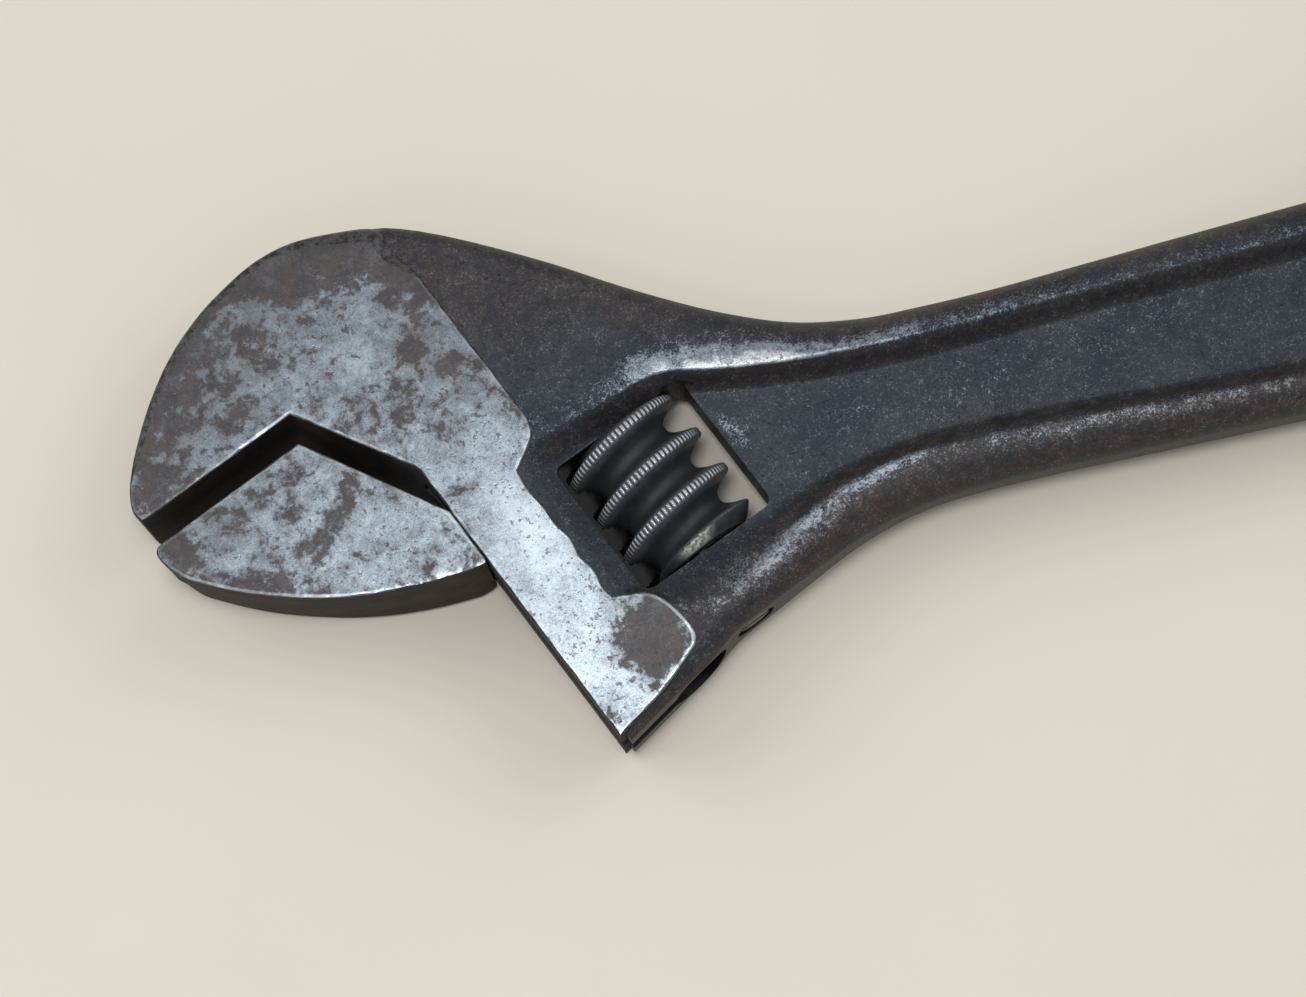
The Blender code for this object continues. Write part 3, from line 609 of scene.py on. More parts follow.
# %% [markdown]
# ## The thread's shape
#
# The knurl is a coarse screw: a narrow crest with a hollow flank on each side. The same formula
# shapes both the knurl itself and the rack teeth of the bar, which fill the space that the turning
# thread leaves free, so they mesh in every position.

# %% The thread formula
PITCH = 5.15
THREAD_AT = 24.4
CREST_RADIUS, ROOT_RADIUS = 8.2, 5.35
HALF_CREST = 0.46


def from_crest(turn_angle, w):
    """Distance along w to the nearest crest, which climbs one pitch a turn: signed, in mm."""
    phase = (w - THREAD_AT) / PITCH - turn_angle / (2 * math.pi)
    return (phase - np.round(phase)) * PITCH


def thread_radius(turn_angle, w, clearance=0.0):
    """Crest radius on the crest, then down a hollow flank: depth times 1 - (1 - y)^2.1, where x
    goes from 0 at the crest's side to 1 near the middle of the gap, and y = x^2 / (x + 0.1 - 0.1 x)
    starts level, which rounds the crest's corner."""
    away = np.abs(from_crest(turn_angle, w)) - clearance
    x = np.clip((away - HALF_CREST) / 1.95, 0, 1)
    y = x ** 2 / (x + 0.1 - 0.1 * x)
    depth = CREST_RADIUS - ROOT_RADIUS
    return CREST_RADIUS + clearance - depth * (1 - (1 - y) ** 2.1)


print("thread: pitch", PITCH, "mm, depth", round(CREST_RADIUS - ROOT_RADIUS, 2), "mm")

# %% [markdown]
# ## The sliding jaw
#
# The nose is a plate like the head. Behind it a thin neck passes through the slot to a round bar
# in the bore. The bar's teeth are worked out point by point: from the bar's middle outwards, the
# surface lies where the thread's space begins, or at the bar's own radius where the thread does
# not reach.

# %% The jaw's nose
GAP = 3.3
nose_runs = [
    [(-9.05, GAP), (8.6, GAP)],
    [(8.6, GAP), (10.4, GAP + 0.05), (11.15, GAP + 0.6), (11.2, GAP + 2.0), (10.5, 7.6), (9.2, 9.6),
     (5.7, 13.7), (1.8, 17.3), (-2.3, 20.4), (-6.7, 23.0), (-11.3, 25.15), (-15.2, 26.6),
     (-17.4, 27.25)],
    [(-17.4, 27.25), (-17.9, 27.3), (-18.12, 26.9)],
    [(-18.12, 26.9), (-18.12, 20.05)],
    [(-18.12, 20.05), (-9.05, GAP)],
]
nose_outline = closed_outline(nose_runs, 0.4)
# The long curved wall leans out near the guide and in near the tip. The walls that face the guide,
# the throat and the fixed jaw stay upright, because they have little room.
u, w = nose_outline.T
from_slope, from_face = u + 9.05 + 0.54 * (w - GAP), w - GAP
lower_edge = np.clip(from_slope / 3.0, 0, 1) * np.clip((from_face - 0.8) / 1.5, 0, 1)
nose_foot = lower_edge * np.interp(u, [-18, -17, -16, -8, 0, 9], [0, 0.3, 0.45, 0.15, -0.3, -0.55])
nose_ease = worn_ease(nose_outline, 0.08, 0.22, 8)
jaw = eased_plate("sliding_jaw_steel", nose_outline, HALF_HEAD, nose_ease, nose_foot)
mark_edges(jaw, nose_outline)

# %% [markdown]
# The bar uses polar coordinates round its own axis. For each direction and each place along it,
# sixty radii are tried at once, and the first that lies inside the thread, with a little
# clearance, is where the steel stops.

# %% The jaw's rack bar
BAR_START, BAR_END = 4.4, 41.4
MESH_CLEARANCE = 0.28


def rack_bar():
    """Bar radius, or less where a point u = BAR_U + r sin a, z = r cos a falls in the thread."""
    turn_angle = circle(96)[None, :, None]
    w = np.linspace(BAR_START, BAR_END, 186)[:, None, None]
    radii = np.linspace(0.25, BAR_RADIUS, 60)[None, None, :]
    u, z = BAR_U + radii * np.sin(turn_angle), radii * np.cos(turn_angle)
    to_knurl = np.hypot(u - KNURL_U, z)
    knurl_angle = np.arctan2(u - KNURL_U, z)
    inside = to_knurl < thread_radius(knurl_angle, w, MESH_CLEARANCE)
    first = np.where(inside.any(axis=2), inside.argmax(axis=2), radii.shape[2] - 1)
    radius = np.maximum(radii[0, 0][first], 0.3)
    end = np.minimum(w[..., 0] - BAR_START, BAR_END - w[..., 0])
    radius = np.minimum(radius, BAR_RADIUS - 0.6 + np.clip(end, 0, 0.6))
    return turned(BAR_U, w[..., 0], radius, turn_angle[..., 0])


bar_points = rack_bar()
bar = tube("bar", flat_head(bar_points), BORED)
neck = block("neck", (BAR_U, 18.0, -1.4), (STRIP_U + 2.5, 26.6, 1.4), 0.2, BORED)
core_gap = np.hypot(bar_points[..., 0] - KNURL_U, bar_points[..., 2]).min() - ROOT_RADIUS
print("rack bar:", bar_points.shape[:2], "points,", round(float(core_gap), 2), "mm from the knurl's core")
join_or_cut(bar, neck, "UNION")
join_or_cut(jaw, bar, "UNION")

# %% [markdown]
# ## The knurl
#
# One closed grid makes the whole knurl: round the axis in one direction, and in the other along
# the outside, over the end face, back through the bore and out over the other end face. The crest
# carries some eighty small ribs for the thumb, and the end of the thread is turned down to a cone.

# %% The knurl's surface
KNURL_START, KNURL_END = 23.1, 40.2
COUNTERBORE, COUNTERBORE_DEPTH = 4.25, 4.0
CONE_RADIUS, CONE_SLOPE = 5.9, 0.98
RIBS, RIB_DEPTH = 80, 0.14


def both_below(a, b, rounding):
    """The lesser of two values, with the corner between them rounded over this width."""
    share = np.clip(0.5 + 0.5 * (b - a) / rounding, 0, 1)
    return b + (a - b) * share - rounding * share * (1 - share)


def knurl_surface(around=480, along=180):
    """Radius by the thread formula, less a rib groove on the crest and a cone at each end."""
    a = circle(around)
    w = np.linspace(KNURL_START, KNURL_END, along)[:, None]
    away = from_crest(a, w)
    radius = thread_radius(a, w) - 0.12 * np.clip(np.abs(away) / HALF_CREST, 0, 1) ** 8
    on_crest = np.clip((HALF_CREST + 0.16 - np.abs(away)) / 0.2, 0, 1)
    rib = np.clip(0.38 - 0.62 * np.cos(RIBS * a), 0, 1)
    radius = radius - RIB_DEPTH * on_crest * rib
    cone = CONE_RADIUS + (KNURL_END - w) * CONE_SLOPE
    radius = both_below(radius, np.maximum(cone, ROOT_RADIUS), 0.8)
    radius = np.minimum(radius, 7.9 + (w - KNURL_START) * 1.5)
    crest = np.clip((radius - 6.4) / (CREST_RADIUS - 6.4), 0, 1)
    ground_off = (radius > cone - 1e-6) * (cone < CREST_RADIUS)
    on_crest = on_crest * (1 - ground_off)
    seat = KNURL_END - COUNTERBORE_DEPTH
    inner = [(4.9, KNURL_END), (COUNTERBORE, KNURL_END), (COUNTERBORE, seat), (BORE, seat),
             (BORE, KNURL_START), (4.0, KNURL_START)]
    inner_radius, inner_w = np.repeat(np.array(inner).T[..., None], around, axis=2)
    points = turned(KNURL_U, np.concatenate([w + 0 * a, inner_w]), np.concatenate([radius, inner_radius]), a)
    pad = np.zeros((len(inner), around))
    marks = {"crest": crest, "rib": on_crest * (1 - rib), "groove": on_crest * rib, "cone": ground_off}
    return points, {name: np.concatenate([values, pad]).ravel() for name, values in marks.items()}


knurl_points, knurl_marks = knurl_surface()
rows, columns = knurl_points.shape[:2]
knurl_faces = grid_faces(rows, columns, rows_close=True)
knurl_points = flat_head(knurl_points).reshape(-1, 3)
knurl = piece_from("ribbed_knurl", knurl_points, knurl_faces, marks=knurl_marks)
print("knurl:", rows, "x", columns, "points,", RIBS, "ribs a turn")

# %% [markdown]
# ## The pin and its spring
#
# The knurl turns on a plain pin, put in from the guide's end, with a screwdriver slot in its face.
# A small coil spring in the knurl's counterbore keeps it from rattling. Both are profiles carried
# along a path: a circle that follows the pin's profile, and a circle that follows a helix.

# %% The pin and spring
PIN_STEPS = np.array([(17.5, 0.02), (17.5, 1.9), (17.9, 2.3), (48.6, 2.3), (49.2, 2.3), (49.7, 1.95),
                      (49.7, 0.02)])


def coil(radius=3.6, wire=0.35, start=37.0, end=40.0, turns=4, steps=160, sides=10):
    """A circle of the wire's radius round each point of a helix: out along the helix's own radius
    and along its axis. The last steps close each end to a point."""
    t = np.linspace(0, 1, steps)[:, None]
    a = 2 * math.pi * turns * t
    b = circle(sides)
    thick = wire * np.sqrt(np.clip(np.minimum(t, 1 - t) * steps, 0.02, 1))
    w = start + (end - start) * t + thick * np.sin(b)
    return turned(KNURL_U, w, radius + thick * np.cos(b), a)


pin = tube("knurl_pivot", flat_head(turned(KNURL_U, PIN_STEPS[:, :1], PIN_STEPS[:, 1:], circle(40))), BORED)
driver_slot = block("driver_slot", (-42.0, 49.0, -0.4), (-35.0, 52.0, 0.4), 0.05, BORED)
join_or_cut(pin, driver_slot, "DIFFERENCE")
spring = tube("knurl_coil", flat_head(coil()))
print("pin:", len(pin.data.polygons), "faces, spring:", len(spring.data.polygons), "faces")

# %% [markdown]
# ## Small tools for finishes
#
# A finish is a network of nodes that ends in a Principled BSDF. The same few nodes come again and
# again: a noise of some size, a soft threshold, a blend of two colours, and a soft round spot that
# makes one place darker or brighter, as years of use have. Each tool below adds its nodes to one
# finish and gives back the socket that they end in, so tools nest as sums do. All of them read
# Object coordinates, which are metres on the piece itself, so the pattern stays on the steel when
# the piece moves.

# %% Finish tools
def paint(red, green, blue):
    """A colour given as it looks on a screen (0 to 255), as the linear values that light uses."""
    c = np.array([red, green, blue]) / 255
    return (*np.where(c <= 0.04045, c / 12.92, ((c + 0.055) / 1.055) ** 2.4), 1.0)


class Finish:
    """The nodes of one material. Sizes and places are in millimetres, turns in degrees."""

    def __init__(self, material):
        material.use_nodes = True
        self.name, self.tree = material.name, material.node_tree
        self.shader = self.tree.nodes["Principled BSDF"]
        self.place = self.add("TexCoord")["Object"]

    def fill(self, made, values):
        """Gives a node its inputs: a socket is linked, and a number or colour is written in."""
        for key, value in values.items():
            if isinstance(value, bpy.types.NodeSocket):
                self.tree.links.new(value, made.inputs[key])
            else:
                made.inputs[key].default_value = value
        return made.outputs

    def add(self, kind, values=None, **settings):
        made = self.tree.nodes.new("ShaderNode" + kind)
        for key, value in settings.items():
            setattr(made, key, value)
        return self.fill(made, values or {})

    def calc(self, operation, a, b, clamp=False):
        return self.add("Math", {0: a, 1: b}, operation=operation, use_clamp=clamp)[0]

    def times(self, a, b, clamp=False):
        return self.calc("MULTIPLY", a, b, clamp)

    def weighed(self, *pairs):
        """The sum of weight times value over the pairs."""
        total = 0.0
        for weight, value in pairs:
            total = self.add("Math", {0: value, 1: weight, 2: total}, operation="MULTIPLY_ADD")[0]
        return total

    def soft(self, value, low, high, start=0.0, end=1.0):
        """A soft threshold: start below low, end above high, an S curve between them."""
        values = {"Value": value, "From Min": low, "From Max": high, "To Min": start, "To Max": end}
        return self.add("MapRange", values, interpolation_type="SMOOTHSTEP")[0]

    def blend(self, share, under, over):
        return self.add("Mix", {0: share, 6: under, 7: over}, data_type="RGBA")[2]

    def coat(self, share, strength, under, over):
        """A blend whose share is first multiplied by the coat's strength."""
        return self.blend(self.times(share, strength), under, over)

    def moved(self, turn, scale, centre=(0, 0, 0)):
        """The place on the piece, as seen from this centre, turned and scaled."""
        values = {"Vector": self.place, "Location": centre, "Rotation": (0, 0, math.radians(turn)),
                  "Scale": scale}
        return self.add("Mapping", values, vector_type="TEXTURE")[0]

    def grain(self, size, detail=6.0, rough=0.6, distortion=0.0, place=None):
        """Fractal noise whose largest lumps are about this many millimetres across."""
        values = {"Vector": place or self.place, "Scale": 1 / (size * MM), "Detail": detail,
                  "Roughness": rough, "Distortion": distortion}
        return self.add("TexNoise", values)[0]

    def streaks(self, size, stretch, turn):
        """Noise drawn out along one direction, as scratches and tool marks are."""
        return self.grain(size, 3.0, 0.5, place=self.moved(turn, (stretch, 1, 1)))

    def specks(self, size, few):
        """Small ragged specks, the highest tops of a noise: few, from 0 to 1, raises the bar."""
        return self.soft(self.grain(size, 4.0, 0.62), 0.6 + 0.1 * few, 0.66 + 0.1 * few)

    def spot(self, x, y, long, wide, turn=0.0):
        """A soft oval, 1 in its middle and 0 at its rim, from its centre, half sizes and turn."""
        values = {"Vector": self.moved(turn, (long * MM, wide * MM, 1.0), (x * MM, y * MM, 0))}
        return self.add("TexGradient", values, gradient_type="SPHERICAL")[1]

    def spots(self, ovals):
        """The sum of several ovals, each times its strength, which comes last."""
        return self.weighed(*[(strength, self.spot(*oval)) for *oval, strength in ovals])

    def mark(self, name):
        return self.add("Attribute", attribute_name=name)["Fac"]

    def upward(self):
        """How level the surface is, from 0 on an upright wall to 1 on a flat face."""
        normal = self.add("NewGeometry")["Normal"]
        return self.calc("ABSOLUTE", self.add("SeparateXYZ", {0: normal})[2], 0.0)

    def show(self, colour, metallic, roughness, height, depth):
        """Ends the network in the shader, with bumps of this depth in millimetres."""
        bump = self.add("Bump", {"Height": height, "Distance": depth * MM, "Strength": 0.6})[0]
        self.fill(self.shader, {"Base Color": colour, "Metallic": metallic, "Roughness": roughness,
                                "Normal": bump})
        print(self.name, "has", len(self.tree.nodes), "nodes")


# %% [markdown]
# ## Ground steel with a patina
#
# The flat faces were once bright. Now brown-black oxide covers them in ragged patches, thickest
# along the head's back and near the tips, and thin on the strip, which the sliding jaw keeps
# polished. The patches are a fractal noise cut by a soft threshold, and ovals raise or lower that
# threshold in the places where this wrench is darker or brighter. Down the strip, and most at its
# end by the guide, the bright colour is polish and a painted highlight of the lamp's sheen in one.
# Close to every edge the oxide is rubbed off. An oval is written as its centre, its half sizes, its
# turn and its strength.

# %% The ground finish
BARE, BARE_DULL, FILM = paint(163, 176, 185), paint(108, 116, 123), paint(86, 85, 90)
# The strip's polished colour is light enough to stand for a painted highlight as well.
DULLED, SLID_AND_SHEEN, RUBBED = paint(98, 102, 106), paint(204, 217, 227), paint(206, 215, 221)
OXIDE, OXIDE_WARM = paint(58, 54, 56), paint(73, 64, 62)
DARK_PLACES = [
    (14, 22, 17, 6, 4, 0.26), (26, 17, 5, 7, 24, 0.20), (-4, 7, 5, 13, -36, 0.085),
    (-7.5, -1, 4, 4, 0, 0.10), (4, 9, 9, 7, 0, 0.035), (5, 14, 4, 3, 30, 0.06),
    (24.5, 7.5, 2.6, 2.2, 0, 0.15), (28.3, 4.3, 2.2, 2.0, 0, 0.12), (23, 14, 2.5, 2, 0, 0.12),
    (42.2, -31.4, 7.2, 7.8, 0, 0.24), (5, -4, 5, 2, 25, 0.09), (-6, -9, 4, 3.5, -50, 0.10),
    (13.5, -7.5, 2.2, 3, -20, 0.14), (9.5, -11, 4.5, 2.2, 40, 0.14), (2, -14.5, 9, 2.0, -15, 0.12),
    (17, -13.5, 5, 1.6, 10, 0.08), (26, -3, 3, 3, 0, 0.06), (38, -37, 3, 5, 22, 0.05),
]
# Ovals of thinner oxide; those down the strip and at its guide end also paint the lamp's highlight.
BARE_AND_SHEEN_PLACES = [
    (19, 11, 7, 8, 0, 0.07), (32, -13, 7, 12, 22, 0.17), (34, -28, 7, 17, 22, 0.17),
    (15, -9, 9, 5, 0, 0.05), (20, -13, 7, 4, 0, 0.07), (5, 18, 3.5, 2.5, 30, 0.07),
    (33, -5, 5, 6, 22, 0.08), (2, -9.5, 4, 3, 0, 0.06), (0, 9, 3, 6, -30, 0.05),
    (24, -4, 4, 4, 0, 0.05), (47, -39, 4, 6, 22, 0.12), (44.5, -41.0, 5, 3.5, 22, 0.12),
    (40, -36, 4, 8, 22, 0.08),
]
DULL_PLACES = [
    (-3, 7, 8, 17, -36, 0.9), (8, 17, 12, 9, 10, 0.8), (27, 7, 7, 13, 24, 0.8),
    (-1, -5, 9, 7, -30, 0.6), (4, 7, 10, 6, 0, 0.5), (44.0, -31.0, 8, 9, 0, 1.4),
]
# The strip's polish, strongest at both ends: real polish and a painted highlight together.
POLISHED_AND_SHEEN_PLACES = [(33, -15, 6, 9, 22, 0.55), (36, -28, 6, 13, 22, 0.2), (46, -40, 6, 7, 22, 0.5)]
WORN_EDGES = [
    (6, 2.5, 6.5, 2.5, 22, 0.7), (47, -32, 7, 9, 0, 0.55), (46, -42, 7, 7, 0, 0.6),
    (15, -15.5, 14, 3.5, 12, 0.85), (-2, -14, 10, 4, -20, 0.25), (33, -8, 5, 6, 0, 0.15),
    (38, -22, 4, 9, 22, 0.12), (16, -2, 8, 4, -30, 0.2),
]


def ground_finish(material):
    """Steel under a film, oxide over both, then flecks, pits, hair scratches and rubbed edges."""
    on = Finish(material)
    rim = on.times(on.mark("rim"), RIM_SCALE)
    lumps, middle = on.grain(4.4, 9.0, 0.6, 0.6), on.grain(1.5, 8.0, 0.66, 0.3)
    fine, fleck = on.grain(0.55, 6.0, 0.75), on.grain(0.17, 2.0, 0.6)
    opening = on.add("VectorMath", {0: on.place, 1: (*ALONG_W, 0)}, operation="DOT_PRODUCT")["Value"]
    back = on.times(on.soft(opening, -0.008, -0.004, 1, 0), on.soft(rim, 0.8, 2.6, 0.14, 0))
    cover = on.weighed((0.40, lumps), (0.38, middle), (0.22, fine), (1, back),
                       (1, on.spots(DARK_PLACES)), (-1, on.spots(BARE_AND_SHEEN_PLACES)))
    film, oxide = on.soft(cover, 0.43, 0.57), on.soft(cover, 0.508, 0.562)
    tone = on.weighed((0.32, on.grain(3.2, 9.0, 0.66, 0.4)), (0.2, on.grain(1.0, 8.0, 0.75)),
                      (0.20, fine), (0.28, fleck))
    steel = on.coat(film, 0.72, on.blend(on.soft(tone, 0.40, 0.60), BARE_DULL, BARE), FILM)
    dull = on.times(on.spots(DULL_PLACES), 0.8, True)
    steel = on.coat(dull, 0.75, steel, DULLED)
    # Polish on the strip, with a painted highlight laid in.
    slid_and_sheen = on.times(on.spots(POLISHED_AND_SHEEN_PLACES), on.soft(tone, 0.36, 0.52, 0.55, 1.0), True)
    steel = on.blend(slid_and_sheen, steel, SLID_AND_SHEEN)
    rust = on.blend(on.soft(on.grain(2.6, 7.0, 0.7), 0.42, 0.62), OXIDE, OXIDE_WARM)
    rust = on.blend(on.soft(tone, 0.47, 0.62, 0.0, 0.45), rust, BARE_DULL)
    colour = on.coat(oxide, 0.93, steel, rust)
    colour = on.coat(on.specks(1.1, 0.05), 0.75, colour, OXIDE_WARM)
    pits = on.calc("MAXIMUM", on.specks(0.6, 0.1), on.specks(1.6, 0.35))
    colour = on.coat(pits, 0.62, colour, paint(66, 62, 64))
    hair = on.soft(on.streaks(0.3, 26.0, 5), 0.70, 0.75)
    colour = on.coat(hair, 0.5, colour, paint(52, 50, 52))
    worn = on.calc("ADD", on.spots(WORN_EDGES), 0.06)
    near = on.weighed((1, on.soft(rim, 0.12, 0.8, 0.8, 0)), (0.5, fine))
    rubbed = on.times(on.soft(near, 0.62, 0.85), worn, True)
    colour = on.blend(rubbed, colour, RUBBED)
    covered = on.weighed((0.7, oxide), (0.3, film), (0.4, dull))
    covered = on.calc("SUBTRACT", covered, rubbed, True)
    rough = on.weighed((1, on.soft(covered, 0, 1, 0.30, 0.43)), (0.12, fine))
    height = on.weighed((0.5, fine), (0.35, covered), (-1, pits), (-0.6, hair))
    on.show(colour, on.soft(covered, 0, 1, 1.0, 0.4), rough, height, 0.024)


ground_finish(FINISHES["ground"])

# %% [markdown]
# ## Upright walls
#
# The walls of the jaws and the guide are hardly ever rubbed, so they keep a brown-black skin with
# faint marks of the cutter that shaped them. At the throat's inner corner the brown turns grey: a
# painted reflection of the lamps. The eased edge above a wall lies at an angle between wall and
# flat, and that is how its own steel is picked out: by how level the surface is. It is bright only
# where the ovals say that use has rubbed it.

# %% The wall finish
# A grey painted reflection on the throat's inner corner: centre, half sizes and turn.
WALL_SHEEN_SPOT = (21.5, -5.8, 5.0, 3.0, -50)


def wall_finish(material):
    """Two browns and a grey painted reflection, then the eased edge, and on it the steel that use has bared.
    """
    on = Finish(material)
    fine, lumps = on.grain(0.8, 8.0, 0.7), on.grain(5.0, 8.0, 0.65)
    brown = on.blend(on.soft(lumps, 0.4, 0.62), paint(34, 26, 20), paint(52, 41, 33))
    brown = on.blend(on.soft(fine, 0.5, 0.75, 0.0, 0.3), brown, paint(70, 62, 56))
    # Painted reflection: the brown turns grey at the throat's inner corner.
    brown = on.coat(on.spot(*WALL_SHEEN_SPOT), 0.8, brown, paint(84, 88, 94))
    eased = on.times(on.soft(on.upward(), 0.12, 0.4), on.soft(fine, 0.3, 0.5, 0.4, 1.0))
    edge = on.blend(on.soft(fine, 0.4, 0.6), paint(50, 47, 47), paint(84, 85, 88))
    worn = on.times(on.spots(WORN_EDGES), eased, True)
    colour = on.blend(worn, on.blend(eased, brown, edge), RUBBED)
    metallic = on.soft(on.weighed((1, worn), (0.4, eased)), 0, 1)
    height = on.weighed((1, fine), (0.7, on.streaks(0.5, 8.0, 22.5)))
    on.fill(on.shader, {"Specular IOR Level": 0.2})
    on.show(colour, metallic, on.soft(eased, 0, 1, 0.7, 0.38), height, 0.03)


wall_finish(FINISHES["wall"])

# %% [markdown]
# ## Forged steel
#
# Forging leaves a blue-black scale with a very fine pale speckle. It turns brown toward the edges,
# and the steepest faces are darkened further as painted shade. Where the hand closes on the rims,
# the scale is worn through in tiny specks that join into a bright band along the crest: the
# speckle's threshold falls as the wear from the surface's own attribute rises. The band's near-white
# core along the upper and lower crests is worn steel and a painted highlight in one.

# %% The forged finish
BROWN_PLACES = [
    (28, 16, 26, 11, -32, 0.9), (50, 7, 18, 4, -33, 0.8), (74, -1.2, 18, 3.2, -6, 0.8),
    (120, -1.0, 60, 3, 1, 0.9), (60, -26, 34, 5, 20, 0.9), (110, -22, 60, 5, 0, 0.9),
]
# Ovals of hand wear on the rims; the strong ones on the upper and lower crests also paint a highlight.
HANDLED_AND_SHEEN_PLACES = [
    (60, -3.0, 15, 2.7, -11, 0.60), (58, -0.4, 14, 4.0, -6, 0.10), (46, -2.0, 7, 3.5, 30, 0.05),
    (76, -4.2, 26, 2.2, 0, 0.13), (62, -23.0, 17, 4.4, 27, 0.16), (54, -25, 6, 4, 30, 0.06),
    (74, -18.6, 8, 2.4, 8, 0.10), (97, -20.4, 30, 2.0, -3, 0.06), (57.9, -9.8, 3.4, 1.7, -57, 0.25),
    (150, -19.5, 60, 2.4, 0, 0.08), (150, -4.6, 60, 2.4, 3, 0.10), (84, -12, 22, 5, 3, 0.05),
    (104, -9.5, 14, 3, 3, 0.06),
]


def forged_finish(material):
    """Scale browned at edges, painted shade on steep faces, sand and speckle, worn specks with painted
    highlight, pits.
    """
    on = Finish(material)
    level, rub = on.upward(), on.mark("rub")
    lumps, middle = on.grain(9.0, 7.0, 0.62, 0.3), on.grain(1.7, 8.0, 0.68)
    fine, fleck = on.grain(0.6, 5.0, 0.7), on.grain(0.24, 3.0, 0.7)
    skin = on.blend(on.soft(lumps, 0.38, 0.62), paint(35, 43, 54), paint(49, 55, 63))
    brown = on.calc("ADD", on.spots(BROWN_PLACES), on.soft(level, 0.5, 0.92, 0.8, 0.0), True)
    skin = on.coat(brown, on.soft(middle, 0.38, 0.55, 0.4, 0.9), skin, paint(72, 58, 54))
    # Painted shade: the steeper the face, the darker its brown.
    skin = on.blend(on.soft(level, 0.2, 0.75, 0.85, 0.0), skin, paint(38, 32, 28))
    sand = on.weighed((0.4, fine), (0.35, fleck), (0.25, middle))
    skin = on.blend(on.soft(sand, 0.36, 0.50, 0.6, 0.0), skin, paint(26, 28, 32))
    skin = on.blend(on.soft(sand, 0.50, 0.64, 0.0, 0.4), skin, paint(94, 102, 110))
    pale = on.times(on.soft(fleck, 0.52, 0.66), on.soft(middle, 0.44, 0.62, 0.15, 1.0))
    colour = on.coat(pale, 0.45, skin, paint(114, 120, 120))
    worn = on.weighed((0.075, rub), (1, on.spots(HANDLED_AND_SHEEN_PLACES)))
    worn = on.times(worn, on.soft(level, 0.72, 0.95))
    worn = on.times(worn, on.soft(on.grain(3.0, 6.0, 0.6), 0.36, 0.60, 0.6, 1.15))
    speck = on.weighed((0.5, fleck), (0.26, fine), (0.24, middle), (1, worn))
    speck = on.times(on.soft(speck, 0.57, 0.74), on.soft(sand, 0.40, 0.54, 0.4, 1.0))
    # The brightest specks go near white: worn steel and a painted highlight together.
    bright = on.blend(on.soft(worn, 0.28, 0.50), paint(150, 160, 170), paint(222, 229, 234))
    colour = on.coat(speck, 0.75, colour, bright)
    pits = on.calc("MAXIMUM", on.specks(0.8, 0.4), on.specks(2.2, 0.6))
    colour = on.coat(pits, 0.6, colour, paint(26, 26, 28))
    rough = on.weighed((1, on.soft(speck, 0, 1, 0.44, 0.34)), (0.16, middle))
    height = on.weighed((1.1, middle), (0.7, fine), (0.5, fleck), (-1, pits))
    on.show(colour, on.soft(speck, 0, 1, 0.55, 1.0), rough, height, 0.075)


forged_finish(FINISHES["forged"])

# %% [markdown]
# ## Plain steel: bore, pin and spring
#
# Inside the bore and slot old oil has gone black, and fine rings from the drill and reamer show at
# the mouth. The pin shows only as a small slotted disc in the guide's end, dull and oily. The
# spring is drawn wire, smoother and a little brighter, with the die's fine lines along it. All
# three are one recipe: two greys in a fine grain, and a bump drawn out along one direction.

# %% The plain finishes
def plain_finish(material, dark, light, size, drawn, metallic, blotches, rough, depth):
    """Two greys mixed by a grain of this size; drawn is the lines' width and stretch."""
    on = Finish(material)
    fine = on.grain(size, 8.0, 0.7)
    colour = on.blend(on.soft(fine, *blotches), dark, light)
    height = on.weighed((1, fine), (1, on.streaks(*drawn, 22.5)))
    on.show(colour, metallic, on.soft(fine, 0.3, 0.7, *rough), height, depth)
    return material


plain_finish(FINISHES["bored"], paint(16, 15, 15), paint(36, 34, 33), 0.9, (0.3, 12.0), 0.5,
             (0.45, 0.75), (0.38, 0.55), 0.03)
pin_steel = plain_finish(bpy.data.materials.new("wrench_pin"), paint(60, 56, 54), paint(118, 118, 116),
                         0.7, (0.35, 10.0), 0.9, (0.38, 0.66), (0.38, 0.53), 0.02)
wire_steel = plain_finish(bpy.data.materials.new("wrench_wire"), paint(84, 84, 86), paint(140, 142, 144),
                          0.5, (0.25, 10.0), 0.9, (0.38, 0.66), (0.3, 0.45), 0.02)
pin.data.materials.clear()
pin.data.materials.append(pin_steel)
spring.data.materials.append(wire_steel)

# %% [markdown]
# ## The knurl's black finish
#
# The knurl is blued nearly black. Thumbs have polished the tops of its ribs, so each rib is a
# bright line with a dark gap, and the steel between crest and flank is a little lighter. The
# turned cone at its end is bare in one rubbed patch.

# %% The knurl finish
RUBBED_CONE = (50.2, -21.4, 3.4, 1.8, 27)


